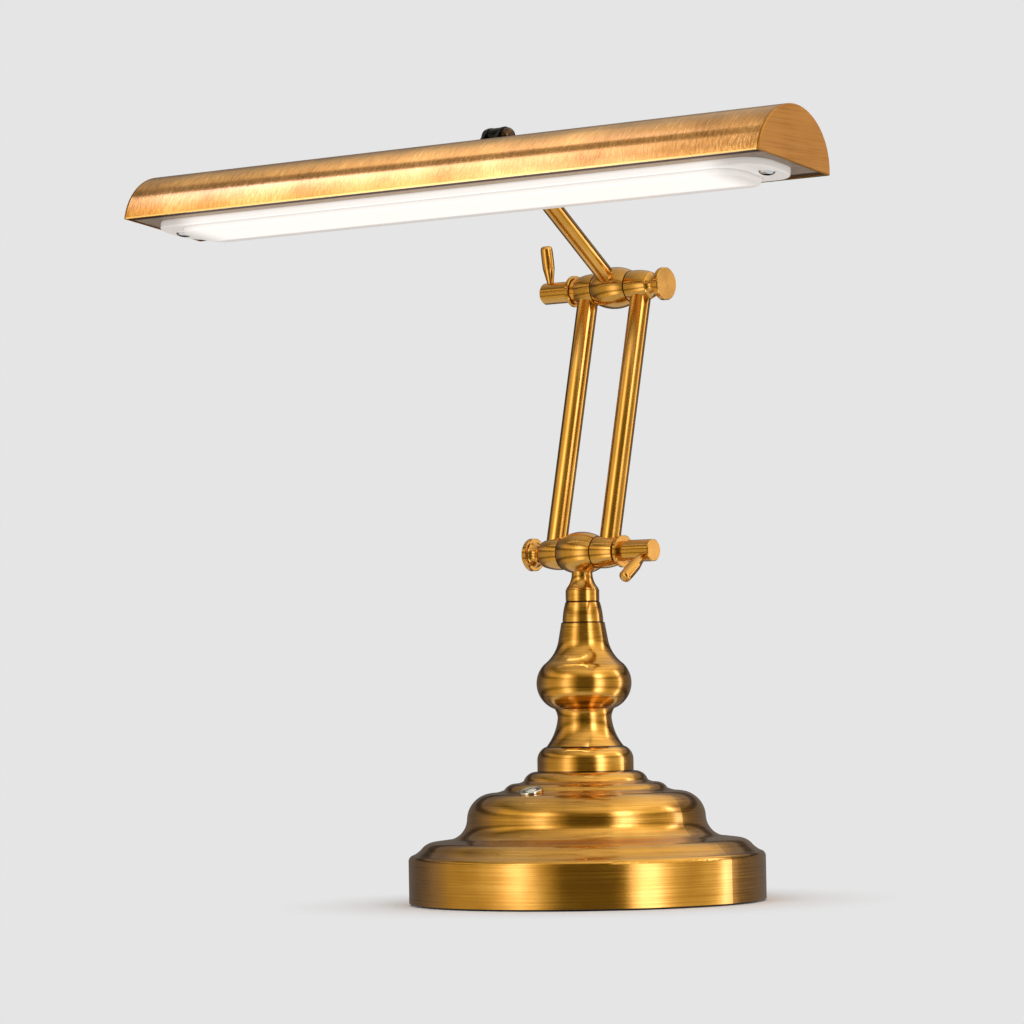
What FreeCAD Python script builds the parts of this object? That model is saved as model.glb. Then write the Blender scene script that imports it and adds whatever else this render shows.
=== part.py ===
# Piano lamp: weighted round base, turned stem, twin-tube arm, head rod and a long half-round shade.
# Millimetres, +Z up. The origin is the middle of the base's underside, the hinge axes run along X,
# and the shade hangs over the front, at -Y.
import FreeCAD, Part
import math
import os
import Sketcher

doc = FreeCAD.newDocument("PianoLamp")

# ---------------------------------------------------------------- driving sizes
# alias, value (mm, or degrees where the note says so), what it is
SIZES = [
    ("padThickness", 1.2, "felt pad thickness"),
    ("padGap", 1.35, "felt pad inside the rim, radial"),
    ("plateThickness", 1.6, "steel closing plate of the base"),
    ("plateGap", 0.25, "closing plate inside the rim, radial"),
    ("shellWall", 1.2, "spun base shell wall"),
    ("rimLift", 0.8, "rim of the shell above the desk"),
    ("rimTop", 19.6, "top of the straight band"),
    ("seatBorder", 1.15, "flat seat of the shell outside the stem foot, radial"),
    ("crownWidth", 5.0, "rounded shoulder below the seat, radial"),
    ("crownRise", 4.0, "rise of that shoulder"),
    ("dipWidth", 4.2, "shallow hollow below the shoulder, radial"),
    ("dipRise", 1.1, "rise of that hollow"),
    ("stepWidth", 4.4, "small rounded step, radial"),
    ("stepRise", 2.7, "rise of that step"),
    ("ledgeWidth", 5.8, "button ledge, radial"),
    ("ledgeRise", 1.3, "rise of the button ledge"),
    ("bellWidth", 10.9, "shoulder of the bell, radial"),
    ("bellRise", 11.3, "rise of the bell's shoulder"),
    ("coveWidth", 8.8, "cove under the bell, radial"),
    ("coveRise", 9.1, "rise of the cove"),
    ("shelfWidth", 6.5, "flat shelf, radial"),
    ("shelfRise", 0.8, "rise of the shelf"),
    ("rollWidth", 5.2, "rolled edge of the shelf, radial"),
    ("rollRise", 3.1, "rise of the rolled edge"),
    ("slopeWidth", 3.5, "slope above the band, radial"),
    ("slopeRise", 2.5, "rise of that slope"),
    ("lipWidth", 2.05, "rounded top edge of the band, radial"),
    ("lipRise", 2.2, "rise of that edge"),
    ("weightHeight", 12.6, "cast weight"),
    ("weightGap", 3.55, "cast weight inside the rim, radial"),
    ("notchWidth", 16.0, "clear way through the weight behind the cord bushing"),
    ("notchDepth", 12.0, "how far the notch goes in from the edge"),
    ("plateScrewCircle", 55.0, "radius on which the plate screws sit"),
    ("plateScrewShank", 1.8, "shank radius"),
    ("plateScrewLength", 9.0, "length under the head"),
    ("tubeRadius", 5.0, "threaded stem tube outside"),
    ("tubeBore", 3.6, "threaded stem tube bore radius"),
    ("tubeFit", 0.05, "all seats round the stem tube, radial"),
    ("tubeProud", 0.8, "stem tube below its nut"),
    ("studLength", 2.7, "threaded stud of the knuckle, in the upper half of the lock collar"),
    ("nutAcross", 14.0, "hex stem nut across flats"),
    ("nutHeight", 4.0, "hex stem nut height"),
    ("washerRadius", 10.0, "stem washer outside"),
    ("washerThickness", 1.5, "stem washer thickness"),
    ("nutPocket", 11.0, "recess radius under the weight"),
    ("sleeveRadius", 8.5, "spacer sleeve outside"),
    ("footRadius", 21.25, "stem foot ring outside"),
    ("footSide", 5.2, "straight side of the foot ring"),
    ("footTopRadius", 17.7, "foot ring at its top"),
    ("footHeight", 10.8, "foot ring height"),
    ("vaseFootRadius", 17.2, "baluster at its foot"),
    ("waistRadius", 11.9, "baluster waist"),
    ("waistHeight", 12.9, "height of the waist over the baluster's foot"),
    ("neckingRadius", 13.1, "where the waist turns into the bulb"),
    ("neckingHeight", 16.7, "height there"),
    ("bulbRadius", 17.6, "where the bulb turns into the taper"),
    ("bulbHeight", 36.4, "height there"),
    ("taperRadius", 11.0, "where the taper straightens"),
    ("taperHeight", 47.0, "height there"),
    ("vaseTopRadius", 9.6, "baluster at its top"),
    ("vaseHeight", 54.8, "baluster height"),
    ("coneFootRadius", 9.05, "cone at its foot"),
    ("coneTopRadius", 7.6, "cone at its top"),
    ("coneHeight", 9.1, "cone height"),
    ("collarRadius", 7.45, "lock collar"),
    ("collarHeight", 5.6, "lock collar height"),
    ("neckFootRadius", 7.1, "neck of the knuckle at its foot"),
    ("neckRadius", 4.6, "neck of the knuckle at its thinnest"),
    ("neckHeight", 16.0, "collar top to the knuckle axis"),
    ("neckCurve", 7.0, "height over which the neck draws in"),
    ("buttonOut", 3.0, "push button outside the inner edge of its ledge, radial"),
    ("buttonSink", 0.15, "push button's seat below that edge"),
    ("buttonTilt", 16.0, "button axis off vertical, degrees"),
    ("bezelRadius", 5.2, "chrome bezel outside"),
    ("bezelHeight", 1.0, "chrome bezel height"),
    ("bezelStem", 4.0, "threaded stem of the bezel"),
    ("bezelStemLength", 8.0, "length of that stem"),
    ("bezelWall", 0.9, "wall of the bezel's stem"),
    ("bezelSeat", 2.3, "thickness of the flat seat under the bezel"),
    ("buttonTravel", 1.2, "push travel"),
    ("buttonProud", 0.5, "button cap over the bezel"),
    ("buttonGap", 0.15, "button cap in its bezel, radial"),
    ("switchRadius", 5.0, "push switch body"),
    ("switchLength", 9.0, "push switch body length"),
    ("switchNutAcross", 11.0, "switch nut across flats"),
    ("switchNutHeight", 2.0, "switch nut height"),
    ("driverLength", 38.0, "light driver case along X"),
    ("driverWidth", 22.0, "light driver case along Y"),
    ("driverHeight", 13.0, "light driver case height"),
    ("driverBack", 32.0, "light driver case behind the stem axis"),
    ("bushingHeight", 10.4, "cord bushing axis above the desk"),
    ("bushingRadius", 4.0, "cord bushing in the shell"),
    ("bushingFlange", 5.6, "cord bushing flange"),
    ("bushingBore", 2.6, "cord hole radius"),
    ("bushingLip", 1.4, "thickness of each flange"),
    ("barrelRadius", 9.4, "knuckle barrel at its middle"),
    ("barrelEndRadius", 7.2, "knuckle barrel at its ends"),
    ("barrelHalf", 9.1, "knuckle barrel half length"),
    ("turnGap", 0.1, "free gap beside a turning barrel"),
    ("frictionThickness", 0.4, "friction washer"),
    ("frictionRadius", 6.6, "friction washer outside"),
    ("ringRadius", 7.1, "arm ring beside the barrel"),
    ("ringEndRadius", 5.9, "arm ring at its outer end"),
    ("ringWall", 0.6, "arm ring beside its tube"),
    ("boltRadius", 2.5, "knuckle bolt"),
    ("boltFit", 0.05, "running clearance round a bolt or screw, radial"),
    ("armRadius", 4.65, "arm tube outside"),
    ("armBore", 3.65, "arm tube bore radius"),
    ("armFloor", 1.85, "metal between the bolt's bore and the arm tube's end"),
    ("seatFit", 0.02, "tube in its socket, radial"),
    ("armLength", 122.5, "lower knuckle axis to upper knuckle axis"),
    ("armLean", 13.3, "arm leans back from vertical, degrees"),
    ("capNeckLength", 5.8, "spool cap: waist length"),
    ("capNeckRadius", 4.3, "spool cap: waist"),
    ("capRootRadius", 5.7, "spool cap: where it meets the ring"),
    ("capDiscRadius", 7.3, "spool cap: disc"),
    ("capDiscThickness", 2.7, "spool cap: disc thickness"),
    ("cupNeckLength", 1.8, "cup washer: neck length"),
    ("cupNeckRadius", 4.9, "cup washer: neck"),
    ("cupDiscRadius", 7.1, "cup washer: disc"),
    ("cupDiscThickness", 2.1, "cup washer: disc thickness"),
    ("hubRadius", 4.85, "clamp nut"),
    ("hubLength", 16.0, "clamp nut length"),
    ("hubBore", 9.0, "bolt depth in the clamp nut"),
    ("leverInset", 3.6, "lever from the clamp nut's outer end"),
    ("leverRoot", 1.55, "lever neck radius"),
    ("leverRadius", 2.7, "lever grip radius"),
    ("leverTaper", 6.4, "length of the lever's taper"),
    ("leverReach", 21.6, "lever tip from the knuckle axis"),
    ("leverPlug", 2.2, "how far the lever is screwed into the nut"),
    ("lowerLeverAngle", 125.0, "lower lever about X from its arm-up place, degrees"),
    ("upperLeverAngle", 9.6, "upper lever about X from vertical, degrees"),
    ("headLength", 102.0, "upper knuckle axis to shade pivot"),
    ("headLean", 53.7, "head rod leans forward from vertical, degrees"),
    ("headRadius", 4.0, "head tube outside"),
    ("headBore", 3.1, "head tube bore radius"),
    ("headSeat", 5.2, "head tube end from the knuckle axis"),
    ("eyeRadius", 4.4, "pivot eye outside"),
    ("eyeWidth", 5.6, "pivot eye along the pivot"),
    ("eyeShank", 8.0, "eye fitting's plug inside the head tube"),
    ("eyeShoulder", 9.6, "head tube end from the pivot"),
    ("eyeTaper", 2.6, "eye fitting's shoulder, along the tube"),
    ("pivotRadius", 2.0, "pivot screw"),
    ("pivotHead", 4.3, "pivot screw head radius"),
    ("pivotHeadHeight", 2.4, "pivot screw head height"),
    ("pivotNutHeight", 3.2, "pivot nut height"),
    ("earThickness", 1.6, "bracket ear"),
    ("earRadius", 4.6, "bracket ear's round end"),
    ("earGap", 0.15, "ear to eye, each side"),
    ("pivotReach", 40.1, "shade section centre to the pivot"),
    ("pivotBearing", 34.8, "pivot round the shade from its top, towards the back, degrees"),
    ("shadeTilt", 7.6, "shade's front edge up, degrees"),
    ("shadeLength", 350.5, "shade overall"),
    ("shadeRadius", 25.25, "shade section outside"),
    ("shadeWall", 0.8, "shade sheet"),
    ("shadeRise", 1.2, "sheet's lower edge above the section centre"),
    ("hemDepth", 2.0, "edge of the sheet folded inwards"),
    ("capThickness", 1.2, "shade end cap"),
    ("capFlange", 6.0, "end cap's flange inside the shade"),
    ("capFit", 0.1, "end cap flange inside the sheet"),
    ("saddleLength", 30.0, "bracket saddle along the shade"),
    ("saddleWidth", 12.0, "bracket saddle round the shade"),
    ("saddleThickness", 1.6, "bracket saddle"),
    ("rivetSpacing", 22.0, "bracket rivets apart"),
    ("rivetRadius", 1.5, "rivet shank"),
    ("rivetHead", 2.6, "rivet head radius"),
    ("rivetHeadHeight", 1.3, "rivet head height"),
    ("lampPlateThickness", 1.2, "plate that closes the shade's underside"),
    ("lampPlateInset", 0.5, "plate above the sheet's lower edge"),
    ("lampPlateGap", 0.2, "plate to the sheet and the caps, each side"),
    ("windowInset", 13.0, "light window's end from the diffuser's end"),
    ("windowSide", 4.2, "light window's side from the diffuser's side"),
    ("boardOverlap", 3.0, "light board over the window's edge"),
    ("boardThickness", 1.6, "light board"),
    ("chipSize", 3.0, "light chip"),
    ("chipHeight", 0.8, "light chip"),
    ("chipCount", 24, "light chips in the row"),
    ("lensMargin", 6.0, "diffuser's end from the sheet's end"),
    ("lensSide", 9.2, "diffuser's side from the plate's side"),
    ("lensCorner", 11.0, "diffuser corner radius"),
    ("lensFlange", 3.2, "diffuser flange thickness"),
    ("lensDrop", 2.5, "raised window below the flange"),
    ("lensStep", 1.4, "flange around the raised window, at the sides"),
    ("lensEndStep", 13.6, "flange beyond the raised window, at the ends"),
    ("lensWall", 1.6, "diffuser wall round its hollow"),
    ("lensScrewInset", 6.7, "diffuser screw from the diffuser's end"),
    ("lensScrewHead", 2.7, "diffuser screw head radius"),
    ("lensScrewHeadHeight", 1.1, "diffuser screw head height"),
    ("lensScrewShank", 1.3, "diffuser screw shank radius"),
]


class Size:
    """A number that carries the spreadsheet formula it comes from."""

    def __init__(self, value, formula):
        self.value = float(value)
        self.formula = formula

    def __add__(self, other):
        other = as_size(other)
        return Size(self.value + other.value, f"({self.formula} + {other.formula})")

    def __sub__(self, other):
        other = as_size(other)
        return Size(self.value - other.value, f"({self.formula} - {other.formula})")

    def __mul__(self, other):
        other = as_size(other)
        return Size(self.value * other.value, f"({self.formula} * {other.formula})")

    def __truediv__(self, other):
        other = as_size(other)
        return Size(self.value / other.value, f"({self.formula} / {other.formula})")

    def __rsub__(self, other):
        return as_size(other) - self

    def __neg__(self):
        return self * -1

    __radd__ = __add__
    __rmul__ = __mul__


def as_size(thing):
    """Take a plain number as a size with no formula behind it."""
    if isinstance(thing, Size):
        return thing
    return Size(thing, f"({thing})")


def sine(angle):
    return Size(math.sin(math.radians(angle.value)), f"sin({angle.formula} * 1 deg)")


def cosine(angle):
    return Size(math.cos(math.radians(angle.value)), f"cos({angle.formula} * 1 deg)")


def root(size):
    return Size(math.sqrt(size.value), f"sqrt({size.formula})")


class Dimensions:
    """The sheet's cells, one attribute for each alias."""

    def __init__(self, sheet, rows):
        for row, (alias, value, note) in enumerate(rows, 1):
            sheet.set(f"A{row}", note)
            sheet.set(f"B{row}", str(value))
            sheet.setAlias(f"B{row}", alias)
            setattr(self, alias, Size(value, f"sizes.{alias}"))


dim = Dimensions(doc.addObject("Spreadsheet::Sheet", "sizes"), SIZES)
doc.recompute()

# ---------------------------------------------------------------- places that follow from the sizes
seatRadius = dim.footRadius + dim.seatBorder                 # base shell, from the seat outwards
crownRadius = seatRadius + dim.crownWidth
stepRadius = crownRadius + dim.dipWidth
ledgeRadius = stepRadius + dim.stepWidth
bellEdge = ledgeRadius + dim.ledgeWidth
bellRadius = bellEdge + dim.bellWidth
coveRadius = bellRadius + dim.coveWidth
shelfRadius = coveRadius + dim.shelfWidth
rollRadius = shelfRadius + dim.rollWidth
lipRadius = rollRadius + dim.slopeWidth
rimRadius = lipRadius + dim.lipWidth
lipTop = dim.rimTop + dim.lipRise                            # and from the band upwards
rollTop = lipTop + dim.slopeRise
shelfTop = rollTop + dim.rollRise
coveTop = shelfTop + dim.shelfRise
bellMiddle = coveTop + dim.coveRise
bellTop = bellMiddle + dim.bellRise
ledgeTop = bellTop + dim.ledgeRise
stepTop = ledgeTop + dim.stepRise
crownTop = stepTop + dim.dipRise
seatTop = crownTop + dim.crownRise
buttonY = -(ledgeRadius + dim.buttonOut)
buttonZ = ledgeTop - dim.buttonSink
vaseZ = seatTop + dim.footHeight
coneZ = vaseZ + dim.vaseHeight
collarZ = coneZ + dim.coneHeight
neckZ = collarZ + dim.collarHeight
lowerZ = neckZ + dim.neckHeight                              # lower knuckle axis
upperY = dim.armLength * sine(dim.armLean)                   # upper knuckle axis
upperZ = lowerZ + dim.armLength * cosine(dim.armLean)
pivotY = upperY - dim.headLength * sine(dim.headLean)        # shade pivot
pivotZ = upperZ + dim.headLength * cosine(dim.headLean)
plateZ = dim.padThickness
weightZ = plateZ + dim.plateThickness
weightTop = weightZ + dim.weightHeight
shellInner = rimRadius - dim.shellWall
weightRadius = shellInner - dim.weightGap
boltBore = dim.boltRadius + dim.boltFit
ringStart = dim.barrelHalf + dim.turnGap + dim.frictionThickness
armX = ringStart + dim.ringWall + dim.armRadius              # each arm tube from the middle
ringEnd = armX + dim.armRadius + dim.ringWall
armSeat = boltBore + dim.armFloor                            # arm tube end from the knuckle axis
capEnd = ringEnd + dim.capNeckLength + dim.capDiscThickness
hubStart = ringEnd + dim.cupNeckLength + dim.cupDiscThickness
boltEnd = hubStart + dim.hubBore
leverX = hubStart + dim.hubLength - dim.leverInset
bracketTilt = dim.shadeTilt + dim.pivotBearing
sectionY = -(dim.pivotReach * sine(dim.pivotBearing))        # shade section centre from the pivot
sectionZ = -(dim.pivotReach * cosine(dim.pivotBearing))
edgeZ = sectionZ + dim.shadeRise                             # lower edge of the shade sheet
lampPlateZ = edgeZ + dim.lampPlateInset                      # underside of the closing plate
innerShade = dim.shadeRadius - dim.shadeWall
sheetLength = dim.shadeLength - dim.capThickness * 2
plateLevel = dim.shadeRise + dim.lampPlateInset              # its underside above the section centre
plateHalf = root(innerShade * innerShade - plateLevel * plateLevel) - dim.lampPlateGap
lensHalfX = sheetLength / 2 - dim.lensMargin
lensHalfY = plateHalf - dim.lensSide
lensScrewX = lensHalfX - dim.lensScrewInset
windowHalfX = lensHalfX - dim.windowInset
windowHalfY = lensHalfY - dim.windowSide
earInner = dim.eyeWidth / 2 + dim.earGap
earOuter = earInner + dim.earThickness


# ---------------------------------------------------------------- small helpers
def bind(thing, prop, size):
    """Give a property its value and the formula that keeps it."""
    thing.setExpression(prop, as_size(size).formula)


def new_body(label, y=0, z=0, turn=None, forward=True, x=0):
    """An empty body at x, y, z, turned about X: forward takes its +Z towards the front."""
    body = doc.addObject("PartDesign::Body", label)
    body.Label = label
    body.AllowCompound = True
    place = [as_size(x), as_size(y), as_size(z)]
    axis = FreeCAD.Vector(1 if forward else -1, 0, 0)
    angle = turn.value if turn else 0
    body.Placement = FreeCAD.Placement(
        FreeCAD.Vector(*[p.value for p in place]), FreeCAD.Rotation(axis, angle))
    for letter, size in zip("xyz", place):
        bind(body, f"Placement.Base.{letter}", size)
    if turn:
        bind(body, "Placement.Rotation.Angle", turn)
    return body


def new_sketch(body, name, role="XZ_Plane", lift=None, turn=None, shift=(0, 0)):
    """A sketch on one of the body's own planes, lifted along the plane's normal."""
    sketch = body.newObject("Sketcher::SketchObject", name)
    plane = [p for p in body.Origin.OriginFeatures if p.Role == role][0]
    sketch.AttachmentSupport = [(plane, "")]
    sketch.MapMode = "FlatFace"
    offset = [as_size(shift[0]), as_size(shift[1]), as_size(lift if lift else 0)]
    sketch.AttachmentOffset = FreeCAD.Placement(
        FreeCAD.Vector(*[o.value for o in offset]),
        FreeCAD.Rotation(FreeCAD.Vector(1, 0, 0), turn.value if turn else 0))
    for letter, size in zip("xyz", offset):
        bind(sketch, f"AttachmentOffset.Base.{letter}", size)
    if turn:
        bind(sketch, "AttachmentOffset.Rotation.Angle", turn)
    return sketch


def fix_point(sketch, geo, pos, x, y):
    """Tie one point of a sketch to its distances from the sketch origin."""
    for kind, axis, size in (("DistanceX", -2, as_size(x)), ("DistanceY", -1, as_size(y))):
        if size.value == 0:
            sketch.addConstraint(Sketcher.Constraint("PointOnObject", geo, pos, axis))
        else:
            row = sketch.addConstraint(
                Sketcher.Constraint(kind, -1, 1, geo, pos, size.value))
            bind(sketch, f"Constraints[{row}]", size)


def circle(sketch, radius, x=0, y=0):
    """A circle about x, y."""
    x, y, radius = as_size(x), as_size(y), as_size(radius)
    geo = sketch.addGeometry(
        Part.Circle(FreeCAD.Vector(x.value, y.value, 0), FreeCAD.Vector(0, 0, 1), radius.value))
    fix_point(sketch, geo, 3, x, y)
    row = sketch.addConstraint(Sketcher.Constraint("Radius", geo, radius.value))
    bind(sketch, f"Constraints[{row}]", radius)


def arc_between(start, end, turn):
    """The arc that turns by so many degrees, to the left if positive, and its radius."""
    run = end - start
    half = math.radians(abs(turn) / 2)
    radius = run.Length / (2 * math.sin(half))
    left = FreeCAD.Vector(-run.y, run.x, 0).normalize()
    side = 1 if turn > 0 else -1
    centre = (start + end) * 0.5 + left * (side * radius * math.cos(half))
    first, last = (start, end) if turn > 0 else (end, start)
    a = math.atan2(first.y - centre.y, first.x - centre.x)
    b = math.atan2(last.y - centre.y, last.x - centre.x)
    return Part.ArcOfCircle(Part.Circle(centre, FreeCAD.Vector(0, 0, 1), radius), a, b)


def outline(sketch, corners):
    """A closed loop of corners: (x, y), (x, y, turn) or (x, y, turn, radius).

    turn bends the edge that follows by so many degrees, to the left if positive."""
    corners = [(as_size(c[0]), as_size(c[1])) + tuple(c[2:]) for c in corners]
    spots = [FreeCAD.Vector(c[0].value, c[1].value, 0) for c in corners]
    ends = []
    for i, (x, y, *bend) in enumerate(corners):
        j = (i + 1) % len(corners)
        if bend and bend[0]:
            turn = bend[0]
            geo = sketch.addGeometry(arc_between(spots[i], spots[j], turn))
            ends.append((geo, 1, 2) if turn > 0 else (geo, 2, 1))
            run_x, run_y = corners[j][0] - x, corners[j][1] - y
            chord = root(run_x * run_x + run_y * run_y)
            radius = chord / (2 * math.sin(math.radians(abs(turn) / 2)))
            if len(bend) > 1:
                radius = bend[1]
            row = sketch.addConstraint(Sketcher.Constraint("Radius", geo, radius.value))
            bind(sketch, f"Constraints[{row}]", radius)
        else:
            geo = sketch.addGeometry(Part.LineSegment(spots[i], spots[j]))
            ends.append((geo, 1, 2))
    for i, (geo, first, last) in enumerate(ends):
        after = ends[(i + 1) % len(ends)]
        sketch.addConstraint(Sketcher.Constraint("Coincident", geo, last, after[0], after[1]))
        fix_point(sketch, geo, first, corners[i][0], corners[i][1])


def rounded(sketch, half_x, half_y, corner, x=0, y=0):
    """A rectangle with rounded corners about x, y."""
    x, y = as_size(x), as_size(y)
    in_x, in_y = half_x - corner, half_y - corner
    outline(sketch, [
        (x - in_x, y - half_y), (x + in_x, y - half_y, 90),
        (x + half_x, y - in_y), (x + half_x, y + in_y, 90),
        (x + in_x, y + half_y), (x - in_x, y + half_y, 90),
        (x - half_x, y + in_y), (x - half_x, y - in_y, 90)])


def hexagon(sketch, across):
    """A hexagon about the origin, by its size across flats."""
    far = across / math.sqrt(3)
    outline(sketch, [
        (far, 0), (far / 2, across / 2), (-far / 2, across / 2),
        (-far, 0), (-far / 2, -across / 2), (far / 2, -across / 2)])


def feature(body, kind, name, sketch=None):
    """A PartDesign feature on a sketch of the body."""
    made = body.newObject(f"PartDesign::{kind}", name)
    if sketch:
        made.Profile = sketch
        sketch.Visibility = False
    return made


def revolve(body, name, sketch, axis="V_Axis", kind="Revolution"):
    made = feature(body, kind, name, sketch)
    made.ReferenceAxis = (sketch, [axis])
    made.Angle = 360
    return made


def extrude(body, name, sketch, length, kind="Pad", back=False, both=False):
    """Pad along the sketch's normal, or pocket against it; back turns that round."""
    made = feature(body, kind, name, sketch)
    made.Reversed = back
    if both:
        made.SideType = "Symmetric"
    bind(made, "Length", length)
    return made


def turned(label, corners, axis="V_Axis", **place):
    """A body made by one revolve: corners are (radius, z), or (x, radius) about the H axis."""
    body = new_body(label, **place)
    sketch = new_sketch(body, label + "_profile")
    outline(sketch, corners)
    revolve(body, label + "_turned", sketch, axis)
    return body


def edges_where(shape, test):
    """Names of the edges whose middle point passes the test."""
    names = []
    for number, edge in enumerate(shape.Edges, 1):
        middle = edge.valueAt((edge.FirstParameter + edge.LastParameter) / 2)
        if test(middle, edge):
            names.append(f"Edge{number}")
    return names


def soften(body, name, radius, test, kind="Fillet"):
    """Fillet or chamfer the edges of the body's tip that pass the test."""
    doc.recompute()
    base = body.Tip
    made = body.newObject(f"PartDesign::{kind}", name)
    made.Base = (base, edges_where(base.Shape, test))
    bind(made, "Radius" if kind == "Fillet" else "Size", radius)
    return made



# ---------------------------------------------------------------- base
def base_shell():
    """Spun shell: band, rolled shelf, cove, bell, button ledge, two small steps and the seat."""
    body = new_body("base_shell")
    sketch = new_sketch(body, "shell_profile")
    outline(sketch, [
        (0, dim.rimLift), (rimRadius, dim.rimLift), (rimRadius, dim.rimTop, 70),
        (lipRadius, lipTop, -20), (rollRadius, rollTop, 46), (shelfRadius, shelfTop),
        (coveRadius, coveTop, -84), (bellRadius, bellMiddle, 84), (bellEdge, bellTop, -22),
        (ledgeRadius, ledgeTop, 56), (stepRadius, stepTop, -31), (crownRadius, crownTop, 66),
        (seatRadius, seatTop), (0, seatTop)])
    revolve(body, "shell_turned", sketch)
    doc.recompute()
    solid = body.Tip
    low = [f"Face{i}" for i, face in enumerate(solid.Shape.Faces, 1)
           if face.BoundBox.ZMax < dim.rimLift.value + 0.01]
    hollow = body.newObject("PartDesign::Thickness", "shell_hollow")
    hollow.Base = (solid, low)
    hollow.Reversed = True
    hollow.Join = "Arc"
    bind(hollow, "Value", dim.shellWall)
    # flat seat for the push button, square to the button axis
    seat = dict(role="XY_Plane", lift=buttonZ, turn=dim.buttonTilt, shift=(0, buttonY))
    boss = new_sketch(body, "button_seat", **seat)
    circle(boss, dim.bezelRadius)
    extrude(body, "button_boss", boss, dim.bezelSeat, back=True)
    spot = new_sketch(body, "button_spot", **seat)
    circle(spot, dim.bezelRadius + dim.turnGap)
    extrude(body, "button_spot_face", spot, dim.bezelSeat * 2, "Pocket", back=True)
    hole = new_sketch(body, "button_hole", **seat)
    circle(hole, dim.bezelStem + dim.tubeFit)
    extrude(body, "button_way", hole, dim.bezelSeat * 4, "Pocket", both=True)
    top = new_sketch(body, "stem_hole", "XY_Plane", seatTop + dim.shellWall)
    circle(top, dim.tubeRadius + dim.tubeFit)
    extrude(body, "stem_way", top, dim.shellWall * 3, "Pocket")
    back = new_sketch(body, "cord_hole", "XZ_Plane", -(rimRadius + dim.shellWall))
    circle(back, dim.bushingRadius + dim.tubeFit, 0, dim.bushingHeight)
    extrude(body, "cord_way", back, dim.shellWall * 3, "Pocket", back=True)
    return body


def base_weight():
    """Cast disc with a recess for the stem nut, a notch for the cord and three screw holes."""
    body = new_body("base_weight", z=weightZ)
    sketch = new_sketch(body, "weight_profile")
    recess = dim.nutHeight + dim.washerThickness + dim.shellWall
    edge = dim.weightHeight / 8
    outline(sketch, [
        (dim.tubeRadius + dim.tubeFit, recess), (dim.nutPocket, recess), (dim.nutPocket, 0),
        (weightRadius, 0), (weightRadius, dim.weightHeight - edge, 90),
        (weightRadius - edge, dim.weightHeight), (dim.tubeRadius + dim.tubeFit, dim.weightHeight)])
    revolve(body, "weight_turned", sketch)
    notch = new_sketch(body, "notch", "XY_Plane", dim.weightHeight + dim.shellWall)
    near = weightRadius - dim.notchDepth
    far = weightRadius + dim.notchDepth
    half = dim.notchWidth / 2
    outline(notch, [(-half, near), (half, near), (half, far), (-half, far)])
    extrude(body, "notch_cut", notch, dim.weightHeight + dim.shellWall * 2, "Pocket")
    hole = new_sketch(body, "screw_hole", "XY_Plane")
    circle(hole, dim.plateScrewShank + dim.tubeFit, 0, -dim.plateScrewCircle)
    drill = extrude(body, "screw_drill", hole, dim.plateScrewLength, "Pocket", back=True)
    three_times(body, drill)
    return body


def three_times(body, made):
    """Repeat a feature three times round Z."""
    pattern = body.newObject("PartDesign::PolarPattern", made.Name + "_ring")
    pattern.Originals = [made]
    axis = [a for a in body.Origin.OriginFeatures if a.Role == "Z_Axis"][0]
    pattern.Axis = (axis, [""])
    pattern.Angle = 360
    pattern.Occurrences = 3
    body.Tip = pattern
    return pattern


def base_plate():
    """Closing plate with three countersunk holes."""
    body = new_body("base_plate", z=plateZ)
    sketch = new_sketch(body, "plate_round", "XY_Plane")
    circle(sketch, shellInner - dim.plateGap)
    extrude(body, "plate_disc", sketch, dim.plateThickness)
    hole = new_sketch(body, "plate_hole", "XZ_Plane", dim.plateScrewCircle)
    shank = dim.plateScrewShank + dim.tubeFit
    outline(hole, [
        (0, 0), (shank + dim.plateThickness, 0), (shank, dim.plateThickness),
        (0, dim.plateThickness)])
    drill = revolve(body, "plate_drill", hole, kind="Groove")
    three_times(body, drill)
    return body


def plate_screws():
    """Three countersunk screws, flush with the underside of the plate."""
    body = new_body("plate_screws", z=plateZ)
    sketch = new_sketch(body, "screw_profile", "XZ_Plane", dim.plateScrewCircle)
    outline(sketch, [
        (0, 0), (dim.plateScrewShank + dim.plateThickness, 0),
        (dim.plateScrewShank, dim.plateThickness),
        (dim.plateScrewShank, dim.plateScrewLength), (0, dim.plateScrewLength)])
    screw = revolve(body, "screw_turned", sketch)
    three_times(body, screw)
    return body


def stem_hardware():
    """Threaded tube, washer, nut and spacer sleeve that clamp the stem, shell and weight together."""
    gap = dim.tubeFit
    nut_z = weightZ + dim.shellWall
    washer_z = nut_z + dim.nutHeight
    tube_z = nut_z - dim.tubeProud
    tube_length = neckZ - dim.studLength - dim.turnGap - tube_z
    turned("stem_tube", [
        (dim.tubeBore, 0), (dim.tubeRadius, 0), (dim.tubeRadius, tube_length),
        (dim.tubeBore, tube_length)], z=tube_z)
    turned("stem_washer", [
        (dim.tubeRadius + gap, 0), (dim.washerRadius, 0),
        (dim.washerRadius, dim.washerThickness), (dim.tubeRadius + gap, dim.washerThickness)],
        z=washer_z)
    nut = new_body("stem_nut", z=nut_z)
    sketch = new_sketch(nut, "nut_flats", "XY_Plane")
    hexagon(sketch, dim.nutAcross)
    circle(sketch, dim.tubeRadius + gap)
    extrude(nut, "nut_block", sketch, dim.nutHeight)
    length = seatTop - dim.shellWall - weightTop
    turned("spacer_sleeve", [
        (dim.tubeRadius + gap, 0), (dim.sleeveRadius, 0),
        (dim.sleeveRadius, length), (dim.tubeRadius + gap, length)], z=weightTop)


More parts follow.
